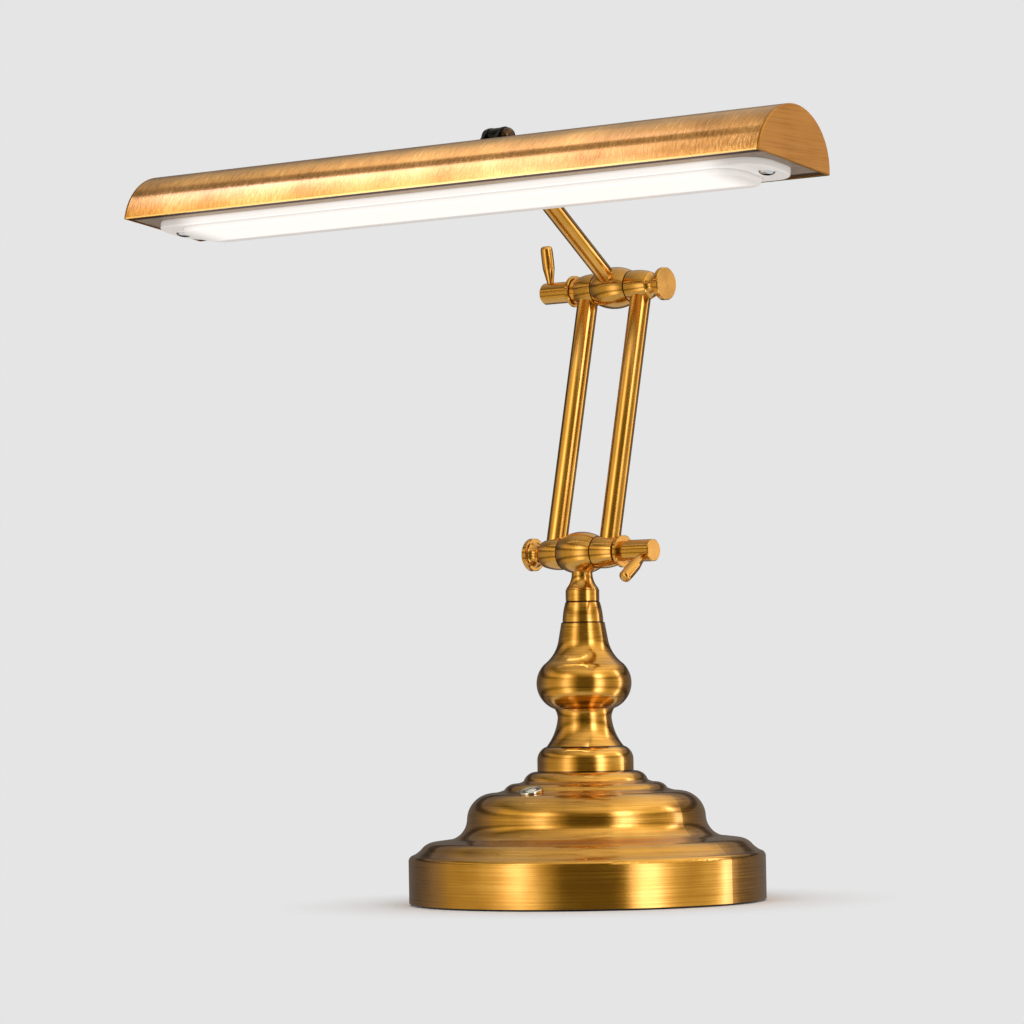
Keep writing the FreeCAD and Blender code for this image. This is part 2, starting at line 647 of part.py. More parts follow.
def cord_bushing():
    """Rubber bushing in the band: an outer flange, a groove round the sheet and an inner flange."""
    length = dim.bushingLip * 2 + dim.shellWall
    body = new_body("cord_bushing", y=rimRadius - dim.shellWall - dim.bushingLip,
                    z=dim.bushingHeight)
    sketch = new_sketch(body, "bushing_profile", "YZ_Plane")
    inner = dim.bushingLip
    outer = dim.bushingLip + dim.shellWall
    outline(sketch, [
        (0, dim.bushingBore), (0, dim.bushingFlange), (inner - dim.plateGap, dim.bushingFlange),
        (inner - dim.plateGap, dim.bushingRadius), (outer + dim.plateGap, dim.bushingRadius),
        (outer + dim.plateGap, dim.bushingFlange), (length, dim.bushingFlange - dim.plateGap * 2),
        (length, dim.bushingBore)])
    revolve(body, "bushing_turned", sketch, "H_Axis")


def light_driver():
    """Sealed driver case on the weight, behind the stem."""
    body = new_body("light_driver", y=dim.driverBack, z=weightTop)
    sketch = new_sketch(body, "driver_round", "XY_Plane")
    rounded(sketch, dim.driverLength / 2, dim.driverWidth / 2, dim.driverWidth / 8)
    extrude(body, "driver_case", sketch, dim.driverHeight)
    top = dim.driverHeight.value
    soften(body, "driver_edge", dim.driverHeight / 12, lambda p, e: abs(p.z - top) < 0.01)


def push_button():
    """Bezel, moving cap, switch body and nut, all on the button axis."""
    place = dict(y=buttonY, z=buttonZ, turn=dim.buttonTilt)
    bore = dim.bezelStem - dim.bezelWall
    cap_radius = bore - dim.buttonGap
    low = -dim.bezelStemLength
    turned("button_bezel", [
        (bore, low), (dim.bezelStem, low), (dim.bezelStem, 0), (dim.bezelRadius, 0),
        (dim.bezelRadius, dim.bezelHeight / 2, 80), (dim.bezelRadius - dim.bezelHeight / 2,
                                                     dim.bezelHeight),
        (bore, dim.bezelHeight - dim.buttonGap)], **place)
    foot = low + dim.buttonTravel + dim.buttonGap
    top = dim.bezelHeight + dim.buttonProud
    turned("button_cap", [
        (0, foot), (cap_radius, foot), (cap_radius, top - dim.bezelWall, 70),
        (cap_radius - dim.bezelWall, top), (0, top)], **place)
    turned("switch_body", [
        (0, low - dim.switchLength), (dim.switchRadius - dim.buttonGap, low - dim.switchLength),
        (dim.switchRadius, low - dim.switchLength + dim.buttonGap), (dim.switchRadius, low),
        (0, low)], **place)
    nut = new_body("switch_nut", **place)
    sketch = new_sketch(nut, "switch_flats", "XY_Plane", -dim.bezelSeat)
    hexagon(sketch, dim.switchNutAcross)
    circle(sketch, dim.bezelStem + dim.tubeFit)
    extrude(nut, "switch_nut_block", sketch, dim.switchNutHeight, back=True)


# ---------------------------------------------------------------- stem
def stem():
    """Foot ring, baluster, cone and lock collar, threaded on the stem tube."""
    bore = dim.tubeRadius + dim.tubeFit
    turned("stem_foot", [
        (bore, 0), (dim.footRadius, 0), (dim.footRadius, dim.footSide, 62),
        (dim.footTopRadius, dim.footHeight), (bore, dim.footHeight)], z=seatTop)
    turned("stem_baluster", [
        (bore, 0), (dim.vaseFootRadius, 0, -34), (dim.waistRadius, dim.waistHeight, -26),
        (dim.neckingRadius, dim.neckingHeight, 114), (dim.bulbRadius, dim.bulbHeight, -44),
        (dim.taperRadius, dim.taperHeight), (dim.vaseTopRadius, dim.vaseHeight),
        (bore, dim.vaseHeight)], z=vaseZ)
    turned("stem_cone", [
        (bore, 0), (dim.coneFootRadius, 0, 16), (dim.coneTopRadius, dim.coneHeight),
        (bore, dim.coneHeight)], z=coneZ)
    bevel = dim.collarHeight / 14
    turned("neck_collar", [
        (bore, 0), (dim.collarRadius - bevel, 0), (dim.collarRadius, bevel),
        (dim.collarRadius, dim.collarHeight - bevel), (dim.collarRadius - bevel, dim.collarHeight),
        (bore, dim.collarHeight)], z=collarZ)


# ---------------------------------------------------------------- knuckles
def barrel_form(body):
    """The round-bellied barrel with its bolt bore, about the body's X axis."""
    sketch = new_sketch(body, "barrel_profile")
    outline(sketch, [
        (-dim.barrelHalf, 0), (dim.barrelHalf, 0), (dim.barrelHalf, dim.barrelEndRadius, 27),
        (0, dim.barrelRadius, 27), (-dim.barrelHalf, dim.barrelEndRadius)])
    revolve(body, "barrel_turned", sketch, "H_Axis")


def bolt_way(body):
    """Bolt bore along X through the barrel."""
    bore = new_sketch(body, "bolt_bore", "YZ_Plane", dim.barrelHalf + dim.turnGap)
    circle(bore, boltBore)
    extrude(body, "bolt_way", bore, (dim.barrelHalf + dim.turnGap) * 2, "Pocket")


def lower_barrel():
    """Lower knuckle: the barrel on its drawn-in neck, with a stud for the lock collar."""
    body = new_body("lower_barrel", z=lowerZ)
    neck = new_sketch(body, "neck_profile")
    foot = -dim.neckHeight
    outline(neck, [
        (0, foot - dim.studLength), (dim.tubeRadius, foot - dim.studLength), (dim.tubeRadius, foot),
        (dim.neckFootRadius, foot), (dim.neckFootRadius, foot + dim.frictionThickness, -42),
        (dim.neckRadius, foot + dim.neckCurve), (dim.neckRadius, -dim.boltRadius),
        (0, -dim.boltRadius)])
    revolve(body, "neck_turned", neck)
    barrel_form(body)
    bolt_way(body)


def ring(label, side, up, **place):
    """Arm ring: a lobe beside the barrel with a socket for the arm tube, facing up or down."""
    body = new_body(label, **place)
    sketch = new_sketch(body, "ring_profile")
    outline(sketch, [
        (ringStart * side, boltBore), (ringEnd * side, boltBore),
        (ringEnd * side, dim.ringEndRadius, 24 * side), (ringStart * side, dim.ringRadius)])
    revolve(body, "ring_turned", sketch, "H_Axis")
    socket = new_sketch(body, "tube_socket", "XY_Plane", armSeat * up)
    circle(socket, dim.armRadius + dim.seatFit, armX * side, 0)
    extrude(body, "tube_way", socket, dim.ringRadius, "Pocket", back=up > 0)
    return body


def arm_tube(label, side):
    """Arm tube between two rings."""
    body = new_body(label, z=lowerZ, turn=dim.armLean, forward=False)
    sketch = new_sketch(body, "tube_section", "XY_Plane", armSeat)
    circle(sketch, dim.armRadius, armX * side, 0)
    circle(sketch, dim.armBore, armX * side, 0)
    extrude(body, "tube_drawn", sketch, dim.armLength - armSeat * 2)


def clamp(prefix, side, y, z, lever_angle):
    """Bolt, friction washers, spool cap, cup washer, clamp nut and lever of one knuckle.

    side is +1 where the lever is at the right-hand end, and the spool cap at the other."""
    place = dict(y=y, z=z)
    cap_depth = dim.capNeckLength
    turned(prefix + "_bolt", [
        (-(ringEnd + cap_depth) * side, 0), (boltEnd * side, 0),
        (boltEnd * side, dim.boltRadius), (-(ringEnd + cap_depth) * side, dim.boltRadius)],
        "H_Axis", **place)
    washers = new_body(prefix + "_friction_washers", **place)
    sketch = new_sketch(washers, "washer_section")
    start = dim.barrelHalf + dim.turnGap
    outline(sketch, [
        (start, boltBore), (ringStart, boltBore), (ringStart, dim.frictionRadius),
        (start, dim.frictionRadius)])
    revolve(washers, "washer_turned", sketch, "H_Axis")
    other = new_sketch(washers, "other_washer_section")
    outline(other, [
        (-start, boltBore), (-ringStart, boltBore), (-ringStart, dim.frictionRadius),
        (-start, dim.frictionRadius)])
    revolve(washers, "other_washer_turned", other, "H_Axis")

    neck = ringEnd + dim.capNeckLength
    bevel = dim.capDiscThickness / 7
    cap = [
        (ringEnd, boltBore), (ringEnd, dim.capRootRadius, 51),
        (ringEnd + dim.capNeckLength / 2, dim.capNeckRadius, 53),
        (neck, dim.capDiscRadius - bevel * 4), (neck, dim.capDiscRadius - bevel),
        (neck + bevel, dim.capDiscRadius), (capEnd - bevel, dim.capDiscRadius),
        (capEnd, dim.capDiscRadius - bevel), (capEnd, 0), (neck, 0), (neck, boltBore)]
    turned(prefix + "_cap", mirrored(cap, -side), "H_Axis", **place)

    neck = ringEnd + dim.cupNeckLength
    cup = [
        (ringEnd, boltBore), (ringEnd, dim.cupNeckRadius), (neck, dim.cupNeckRadius + bevel * 2),
        (neck, dim.cupDiscRadius - bevel), (neck + bevel, dim.cupDiscRadius),
        (hubStart - bevel, dim.cupDiscRadius), (hubStart, dim.cupDiscRadius - bevel),
        (hubStart, boltBore)]
    turned(prefix + "_cup_washer", mirrored(cup, side), "H_Axis", **place)

    turned_place = dict(y=y, z=z, turn=lever_angle)
    hub_end = hubStart + dim.hubLength
    bevel = dim.hubRadius / 12
    hub = [
        (hubStart, boltBore), (hubStart, dim.hubRadius), (hub_end - bevel, dim.hubRadius),
        (hub_end, dim.hubRadius - bevel), (hub_end, 0), (boltEnd + dim.turnGap, 0),
        (boltEnd + dim.turnGap, boltBore)]
    body = turned(prefix + "_clamp_nut", mirrored(hub, side), "H_Axis", **turned_place)
    hole = new_sketch(body, "lever_hole", "XY_Plane", dim.hubRadius + dim.turnGap)
    circle(hole, dim.leverRoot + dim.seatFit, leverX * side, 0)
    extrude(body, "lever_way", hole, dim.leverPlug + dim.turnGap, "Pocket")

    root_z = dim.hubRadius - dim.leverPlug
    neck_z = dim.hubRadius + dim.turnGap
    round_z = dim.leverReach - dim.leverRadius / 2
    lever = [
        (0, root_z), (dim.leverRoot, root_z), (dim.leverRoot, neck_z),
        (dim.leverRadius, neck_z + dim.leverTaper, 4), (dim.leverRadius, round_z, 70),
        (dim.leverRadius / 2, dim.leverReach), (0, dim.leverReach)]
    turned(prefix + "_lever", lever, x=leverX * side, **turned_place)


def mirrored(corners, side):
    """The same profile on the other side of the YZ plane when side is -1."""
    flipped = []
    for corner in corners:
        turn = corner[2] * side if len(corner) > 2 else 0
        flipped.append((corner[0] * side, corner[1], turn))
    return flipped


def upper_barrel():
    """Upper knuckle: the same barrel with a socket for the head tube."""
    body = new_body("upper_barrel", y=upperY, z=upperZ, turn=dim.headLean)
    barrel_form(body)
    bolt_way(body)
    socket = new_sketch(body, "head_socket", "XY_Plane", dim.headSeat)
    circle(socket, dim.headRadius + dim.seatFit)
    extrude(body, "head_way", socket, dim.barrelRadius, "Pocket", back=True)


# ---------------------------------------------------------------- head rod
def head_rod():
    """Head tube and the eye fitting plugged into its end."""
    place = dict(y=upperY, z=upperZ, turn=dim.headLean)
    end = dim.headLength - dim.eyeShoulder
    turned("head_tube", [
        (dim.headBore, dim.headSeat), (dim.headRadius, dim.headSeat), (dim.headRadius, end),
        (dim.headBore, end)], **place)
    body = new_body("head_eye", y=pivotY, z=pivotZ, turn=dim.headLean)
    sketch = new_sketch(body, "eye_stem")
    shoulder = -dim.eyeShoulder
    plug = dim.headBore - dim.seatFit
    neck = dim.eyeWidth / 2 - dim.earGap
    outline(sketch, [
        (0, shoulder - dim.eyeShank), (plug, shoulder - dim.eyeShank), (plug, shoulder),
        (dim.headRadius, shoulder), (dim.headRadius, shoulder + dim.eyeTaper / 4),
        (neck, shoulder + dim.eyeTaper), (neck, -dim.pivotRadius), (0, -dim.pivotRadius)])
    revolve(body, "eye_stem_turned", sketch)
    barrel = new_sketch(body, "eye_round", "YZ_Plane")
    circle(barrel, dim.eyeRadius)
    extrude(body, "eye_drum", barrel, dim.eyeWidth, both=True)
    hole = new_sketch(body, "eye_hole", "YZ_Plane")
    circle(hole, dim.pivotRadius + dim.boltFit)
    extrude(body, "eye_way", hole, dim.eyeWidth * 2, "Pocket", both=True)


# ---------------------------------------------------------------- shade
def shade_place():
    return dict(y=pivotY, z=pivotZ, turn=dim.shadeTilt, forward=False)


def bracket_place():
    return dict(y=pivotY, z=pivotZ, turn=bracketTilt, forward=False)


def arc_angle(height, radius):
    """Degrees above the horizontal at which a circle of this radius reaches a height."""
    return math.degrees(math.asin(height.value / radius.value))


def shade_section(sketch, outer, inner, rise, lower):
    """A half-round band between two radii, ending at a height above its centre."""
    out_half = root(outer * outer - rise * rise)
    in_half = root(inner * inner - lower * lower)
    out_turn = 180 - 2 * arc_angle(rise, outer)
    in_turn = 180 - 2 * arc_angle(lower, inner)
    outline(sketch, [
        (sectionY + out_half, sectionZ + rise, out_turn, outer),
        (sectionY - out_half, sectionZ + rise),
        (sectionY - in_half, sectionZ + lower, -in_turn, inner),
        (sectionY + in_half, sectionZ + lower)])


def shade_shell():
    """Half-round sheet with its long edges folded inwards, and two rivet holes at the back."""
    body = new_body("shade_shell", **shade_place())
    sketch = new_sketch(body, "shell_section", "YZ_Plane")
    shade_section(sketch, dim.shadeRadius, innerShade, dim.shadeRise, dim.shadeRise)
    extrude(body, "shell_sheet", sketch, sheetLength, both=True)
    hems(body)
    holes = new_sketch(body, "rivet_holes", "XY_Plane", sectionZ, dim.pivotBearing * -1,
                       (0, sectionY))
    for side in (-1, 1):
        circle(holes, dim.rivetRadius + dim.seatFit, dim.rivetSpacing / 2 * side, 0)
    extrude(body, "rivet_ways", holes, dim.shadeRadius * 1.2, "Pocket", back=True)


def hems(body):
    """The folded edges: a narrow shelf inside each long edge."""
    half = root(dim.shadeRadius * dim.shadeRadius - dim.shadeRise * dim.shadeRise)
    inner = half - dim.shadeWall - dim.hemDepth
    for side, name in ((-1, "front"), (1, "back")):
        sketch = new_sketch(body, name + "_hem", "YZ_Plane")
        hem_z = lampPlateZ + dim.lampPlateThickness
        outline(sketch, [
            (sectionY + inner * side, hem_z), (sectionY + (half - dim.shadeWall / 2) * side, hem_z),
            (sectionY + (half - dim.shadeWall / 2) * side, hem_z + dim.shadeWall),
            (sectionY + inner * side, hem_z + dim.shadeWall)])
        extrude(body, name + "_hem_fold", sketch, sheetLength, both=True)


def shade_cap(label, side):
    """D-shaped end cap with a flange that slips inside the sheet."""
    body = new_body(label, **shade_place())
    face = new_sketch(body, "cap_face", "YZ_Plane", sheetLength / 2 * side)
    half = root(dim.shadeRadius * dim.shadeRadius - dim.shadeRise * dim.shadeRise)
    turn = 180 - 2 * arc_angle(dim.shadeRise, dim.shadeRadius)
    outline(face, [
        (sectionY + half, sectionZ + dim.shadeRise, turn, dim.shadeRadius),
        (sectionY - half, sectionZ + dim.shadeRise)])
    extrude(body, "cap_disc", face, dim.capThickness, back=side < 0)
    flange = new_sketch(body, "cap_flange", "YZ_Plane", sheetLength / 2 * side)
    outer = innerShade - dim.capFit
    low = dim.shadeRise + dim.lampPlateInset + dim.lampPlateThickness + dim.shadeWall + dim.capFit
    shade_section(flange, outer, outer - dim.shadeWall, low, low)
    extrude(body, "cap_flange_ring", flange, dim.capFlange, back=side > 0)
    end = (dim.shadeLength / 2).value
    soften(body, "cap_edge", dim.capThickness / 3,
           lambda p, e: abs(abs(p.x) - end) < 0.01, "Chamfer")


def lamp_plate():
    """Plate that closes the underside, with the light window and two screw holes."""
    body = new_body("lamp_plate", **shade_place())
    sketch = new_sketch(body, "plate_outline", "XY_Plane", lampPlateZ, shift=(0, sectionY))
    long = sheetLength / 2 - dim.lampPlateGap
    outline(sketch, [
        (-long, -plateHalf), (long, -plateHalf), (long, plateHalf), (-long, plateHalf)])
    extrude(body, "plate_sheet", sketch, dim.lampPlateThickness)
    window = new_sketch(body, "light_window", "XY_Plane", lampPlateZ, shift=(0, sectionY))
    rounded(window, windowHalfX, windowHalfY, windowHalfY / 3)
    extrude(body, "window_cut", window, dim.lampPlateThickness, "Pocket", back=True)
    holes = new_sketch(body, "plate_screw_holes", "XY_Plane", lampPlateZ, shift=(0, sectionY))
    for side in (-1, 1):
        circle(holes, dim.lensScrewShank + dim.seatFit, lensScrewX * side, 0)
    extrude(body, "plate_screw_ways", holes, dim.lampPlateThickness, "Pocket", back=True)


def light_board():
    """Light board over the window and its row of chips, which look down through it."""
    body = new_body("light_board", **shade_place())
    top = lampPlateZ + dim.lampPlateThickness
    sketch = new_sketch(body, "board_outline", "XY_Plane", top, shift=(0, sectionY))
    half_x = windowHalfX + dim.boardOverlap
    half_y = windowHalfY + dim.boardOverlap
    outline(sketch, [(-half_x, -half_y), (half_x, -half_y), (half_x, half_y), (-half_x, half_y)])
    extrude(body, "board_sheet", sketch, dim.boardThickness)
    chips = new_body("light_chips", **shade_place())
    first = new_sketch(chips, "chip_outline", "XY_Plane", top - dim.chipHeight, shift=(0, sectionY))
    pitch = windowHalfX * 2 / dim.chipCount
    start = pitch / 2 - windowHalfX
    edge = dim.chipSize / 2
    outline(first, [(start - edge, -edge), (start + edge, -edge), (start + edge, edge),
                    (start - edge, edge)])
    chip = extrude(chips, "chip", first, dim.chipHeight)
    row = chips.newObject("PartDesign::LinearPattern", "chip_row")
    row.Originals = [chip]
    axis = [a for a in chips.Origin.OriginFeatures if a.Role == "X_Axis"][0]
    row.Direction = (axis, [""])
    bind(row, "Length", windowHalfX * 2 - pitch)
    bind(row, "Occurrences", dim.chipCount)
    chips.Tip = row


def diffuser():
    """Opal diffuser: a flat flange, a raised window below it and a hollow for the light."""
    body = new_body("diffuser", **shade_place())
    shift = (0, sectionY)
    flange = new_sketch(body, "flange_outline", "XY_Plane", lampPlateZ, shift=shift)
    rounded(flange, lensHalfX, lensHalfY, dim.lensCorner)
    extrude(body, "flange_sheet", flange, dim.lensFlange, back=True)
    raised = new_sketch(body, "raised_outline", "XY_Plane", lampPlateZ - dim.lensFlange, shift=shift)
    corner = dim.lensCorner - dim.lensStep / 2
    rounded(raised, lensHalfX - dim.lensEndStep, lensHalfY - dim.lensStep, corner)
    extrude(body, "raised_window", raised, dim.lensDrop, back=True)
    hollow = new_sketch(body, "hollow_outline", "XY_Plane", lampPlateZ, shift=shift)
    inset_x = lensHalfX - dim.lensEndStep - dim.lensWall
    inset_y = lensHalfY - dim.lensStep - dim.lensWall
    rounded(hollow, inset_x, inset_y, corner - dim.lensWall)
    depth = dim.lensFlange + dim.lensDrop - dim.lensWall
    extrude(body, "light_hollow", hollow, depth, "Pocket")
    holes = new_sketch(body, "lens_screw_holes", "XY_Plane", lampPlateZ, shift=shift)
    for side in (-1, 1):
        circle(holes, dim.lensScrewShank + dim.seatFit, lensScrewX * side, 0)
    extrude(body, "lens_screw_ways", holes, dim.lensFlange, "Pocket")
    low = (lampPlateZ - dim.lensFlange - dim.lensDrop).value
    soften(body, "window_edge", dim.lensDrop / 2, lambda p, e: abs(p.z - low) < 0.01)
    rim = (lampPlateZ - dim.lensFlange).value
    outside = (lensHalfY - dim.lensStep / 4).value
    far = (lensHalfX - dim.lensCorner / 2).value
    middle = sectionY.value

    def outer_rim(p, e):
        return abs(p.z - rim) < 0.01 and (abs(p.y - middle) > outside or abs(p.x) > far)

    soften(body, "flange_edge", dim.lensFlange / 4, outer_rim)


def diffuser_screws():
    """Two round-headed screws through the diffuser's ends into the plate."""
    body = new_body("diffuser_screws", **shade_place())
    head_z = lampPlateZ - dim.lensFlange
    top = lampPlateZ + dim.lampPlateThickness * 2
    low = head_z - dim.lensScrewHeadHeight
    for side, name in ((-1, "left"), (1, "right")):
        sketch = new_sketch(body, name + "_screw", "XZ_Plane", -sectionY,
                            shift=(lensScrewX * side, 0))
        outline(sketch, [
            (0, low), (dim.lensScrewHead / 2, low, 50), (dim.lensScrewHead, head_z),
            (dim.lensScrewShank, head_z), (dim.lensScrewShank, top), (0, top)])
        revolve(body, name + "_screw_turned", sketch)


def bracket():
    """Riveted bracket: a saddle on the back of the shade and two ears that hold the pivot."""
    body = new_body("shade_bracket", **bracket_place())
    saddle = new_sketch(body, "saddle_section", "YZ_Plane")
    inner = dim.shadeRadius
    outer = inner + dim.saddleThickness
    half = dim.saddleWidth / 2
    in_z = root(inner * inner - half * half) - dim.pivotReach
    out_z = root(outer * outer - half * half) - dim.pivotReach
    in_turn = 2 * math.degrees(math.asin(half.value / inner.value))
    out_turn = 2 * math.degrees(math.asin(half.value / outer.value))
    outline(saddle, [
        (half, in_z), (half, out_z, out_turn, outer), (-half, out_z), (-half, in_z, -in_turn, inner)])
    extrude(body, "saddle_plate", saddle, dim.saddleLength, both=True)
    ear_foot = outer - dim.saddleThickness / 2 - dim.pivotReach
    for side, name in ((-1, "left"), (1, "right")):
        ear = new_sketch(body, name + "_ear", "YZ_Plane", earInner * side)
        width = dim.earRadius
        outline(ear, [(-width, ear_foot), (width, ear_foot), (width, 0, 90), (0, width, 90),
                      (-width, 0)])
        extrude(body, name + "_ear_plate", ear, dim.earThickness, back=side < 0)
    hole = new_sketch(body, "pivot_hole", "YZ_Plane")
    circle(hole, dim.pivotRadius + dim.seatFit)
    extrude(body, "pivot_way", hole, dim.saddleLength, "Pocket", both=True)
    holes = new_sketch(body, "saddle_holes", "XY_Plane", -dim.pivotReach)
    for side in (-1, 1):
        circle(holes, dim.rivetRadius + dim.seatFit, dim.rivetSpacing / 2 * side, 0)
    extrude(body, "saddle_ways", holes, dim.pivotReach, "Pocket", back=True)


def bracket_rivets():
    """Two rivets through the saddle and the sheet, headed outside and closed inside."""
    body = new_body("bracket_rivets", **bracket_place())
    head = dim.shadeRadius + dim.saddleThickness - dim.pivotReach
    tail = innerShade - dim.pivotReach - dim.turnGap
    closed = dim.rivetRadius * 1.4
    for side, name in ((-1, "left"), (1, "right")):
        sketch = new_sketch(body, name + "_rivet", "XZ_Plane", shift=(dim.rivetSpacing / 2 * side, 0))
        outline(sketch, [
            (0, tail - dim.rivetHeadHeight / 2), (closed, tail - dim.rivetHeadHeight / 2),
            (closed, tail), (dim.rivetRadius, tail), (dim.rivetRadius, head),
            (dim.rivetHead, head, 60), (dim.rivetHead / 3, head + dim.rivetHeadHeight),
            (0, head + dim.rivetHeadHeight)])
        revolve(body, name + "_rivet_turned", sketch)


def pivot_hardware():
    """Pivot screw with its head at the left and a domed nut at the right."""
    place = shade_place()
    thread = earOuter + dim.pivotNutHeight * 0.7
    turned("pivot_screw", [
        (-(earOuter + dim.pivotHeadHeight), 0), (thread, 0), (thread, dim.pivotRadius),
        (-earOuter, dim.pivotRadius), (-earOuter, dim.pivotHead),
        (-(earOuter + dim.pivotHeadHeight / 2), dim.pivotHead, 50),
        (-(earOuter + dim.pivotHeadHeight), dim.pivotHead * 0.6)], "H_Axis", **place)
    end = earOuter + dim.pivotNutHeight
    bore = dim.pivotRadius + dim.seatFit
    turned("pivot_nut", [
        (earOuter, bore), (thread + dim.seatFit, bore), (thread + dim.seatFit, 0), (end, 0),
        (end, dim.pivotHead * 0.5, 50), (earOuter + dim.pivotNutHeight / 2, dim.pivotHead * 0.95),
        (earOuter, dim.pivotHead * 0.95)], "H_Axis", **place)


# ---------------------------------------------------------------- assembly
def make_base():
    radius = shellInner - dim.padGap
    turned("base_pad", [
        (0, 0), (radius, 0), (radius, dim.padThickness), (0, dim.padThickness)])
    base_plate()
    plate_screws()
    base_weight()
    base_shell()
    stem_hardware()
    cord_bushing()
    light_driver()
    push_button()
    stem()


def make_arm():
    lower_barrel()
    lower = dict(z=lowerZ, turn=dim.armLean, forward=False)
    upper = dict(y=upperY, z=upperZ, turn=dim.armLean, forward=False)
    for side, name in ((-1, "left"), (1, "right")):
        ring("lower_ring_" + name, side, 1, **lower)
        arm_tube("arm_tube_" + name, side)
        ring("upper_ring_" + name, side, -1, **upper)
    clamp("lower", 1, 0, lowerZ, dim.lowerLeverAngle)
    clamp("upper", -1, upperY, upperZ, dim.upperLeverAngle)
    upper_barrel()
    head_rod()


def make_shade():
    pivot_hardware()
    bracket()
    bracket_rivets()
    shade_shell()
    shade_cap("shade_cap_left", -1)
    shade_cap("shade_cap_right", 1)
    lamp_plate()
    light_board()
    diffuser()
    diffuser_screws()


def check_document():
    """Stop the build at the first broken feature or shape."""
    doc.recompute()
    for thing in doc.Objects:
        if "Invalid" in thing.State or "Error" in thing.State:
            raise RuntimeError(f"{thing.Name} in {thing.Label}: {thing.State}")
    broken = [body.Label for body in bodies() if body.Shape.isNull() or not body.Shape.isValid()]
    if broken:
        raise RuntimeError(f"bad shapes: {broken}")


def bodies():
    return [thing for thing in doc.Objects if thing.TypeId == "PartDesign::Body"]


def export_parts():
    os.makedirs("parts", exist_ok=True)
    for body in bodies():
        body.Shape.exportStep(f"parts/{body.Label}.step")
        box = body.Shape.BoundBox
        print(f"{body.Label}: {len(body.Shape.Solids)} solid(s), {body.Shape.Volume:.0f} mm3, "
              f"z {box.ZMin:.2f} to {box.ZMax:.2f}")


make_base()
make_arm()
make_shade()
check_document()
export_parts()
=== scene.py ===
import math
import bmesh
import bpy
from mathutils import Matrix, Vector


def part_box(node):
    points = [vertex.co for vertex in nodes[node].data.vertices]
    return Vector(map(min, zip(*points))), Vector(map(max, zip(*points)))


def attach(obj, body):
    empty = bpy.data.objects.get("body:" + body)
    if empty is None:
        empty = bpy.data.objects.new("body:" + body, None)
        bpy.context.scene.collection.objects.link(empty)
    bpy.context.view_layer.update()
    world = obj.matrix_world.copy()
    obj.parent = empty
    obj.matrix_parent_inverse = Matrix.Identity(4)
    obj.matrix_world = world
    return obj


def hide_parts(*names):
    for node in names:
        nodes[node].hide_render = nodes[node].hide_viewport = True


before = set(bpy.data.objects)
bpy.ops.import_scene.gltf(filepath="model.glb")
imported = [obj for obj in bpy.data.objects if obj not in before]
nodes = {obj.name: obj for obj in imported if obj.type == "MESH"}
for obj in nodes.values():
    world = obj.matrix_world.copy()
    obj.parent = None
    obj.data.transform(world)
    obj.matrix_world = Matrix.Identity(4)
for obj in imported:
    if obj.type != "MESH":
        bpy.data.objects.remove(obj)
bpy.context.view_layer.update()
print("frame loaded:", len(nodes), "nodes")

# Places and directions in the frame at rest, in metres
lowerKnuckle = Vector((0.0, 0.0, 0.154))
upperKnuckle = Vector((0.0, 0.028181, 0.273214))
shadePivot = Vector((0.0, -0.054024, 0.3336))
shadeTilt = math.radians(7.6)
shadeUp = Vector((0.0, math.sin(shadeTilt), math.cos(shadeTilt)))
shadeAcross = Vector((0.0, math.cos(shadeTilt), -math.sin(shadeTilt)))
upright = (0, 0, 1)
sideways = (1, 0, 0)

camera = {
    "place": (1.18023, -1.52144, 0.09634),
    "azimuth": 38.71,        # degrees, as are pitch and roll
    "pitch": 2.27,
    "roll": 0.98,
    "lens": 153.11,          # mm, as is the sensor
    "sensor": 36.0,
    "near": 0.05,            # m, as is far
    "far": 60.0,
}


def makeCamera(values):
    azimuth, pitch, roll = (math.radians(values[key]) for key in ("azimuth", "pitch", "roll"))
    forward = Vector((-math.sin(azimuth) * math.cos(pitch), math.cos(azimuth) * math.cos(pitch),
                      math.sin(pitch)))
    level = Vector((math.cos(azimuth), math.sin(azimuth), 0.0))
    above = level.cross(forward)
    right = level * math.cos(roll) - above * math.sin(roll)
    up = above * math.cos(roll) + level * math.sin(roll)
    data = bpy.data.cameras.new("view")
    data.lens = values["lens"]
    data.sensor_width = values["sensor"]
    data.clip_start = values["near"]
    data.clip_end = values["far"]
    viewer = bpy.data.objects.new("view", data)
    viewer.matrix_world = Matrix((
        (right.x, up.x, -forward.x, values["place"][0]),
        (right.y, up.y, -forward.y, values["place"][1]),
        (right.z, up.z, -forward.z, values["place"][2]),
        (0, 0, 0, 1),
    ))
    bpy.context.scene.collection.objects.link(viewer)
    bpy.context.scene.camera = viewer


# sRGB hex to linear
def linear(colour):
    parts = [int(colour[i:i + 2], 16) / 255 for i in (1, 3, 5)]
    return tuple(c / 12.92 if c <= 0.04045 else ((c + 0.055) / 1.055) ** 2.4 for c in parts) + (1.0,)


# A node with its sockets' values, its links and its settings; a ramp also takes its stops
def addNode(tree, kind, values=None, links=None, stops=(), ease=True, **settings):
    node = tree.nodes.new(kind)
    for key, value in settings.items():
        setattr(node, key, value)
    for key, value in (values or {}).items():
        node.inputs[key].default_value = value
    for key, source in (links or {}).items():
        tree.links.new(source, node.inputs[key])
    if stops:
        node.color_ramp.interpolation = "EASE" if ease else "LINEAR"
        points = node.color_ramp.elements
        while len(points) < len(stops):
            points.new(0.5)
        for point, (place, colour) in zip(points, stops):
            point.position = place
            point.color = linear(colour) if isinstance(colour, str) else colour
    return node


def newMaterial(name):
    made = bpy.data.materials.new(name)
    made.use_nodes = True
    made.node_tree.nodes.clear()
    return made, made.node_tree


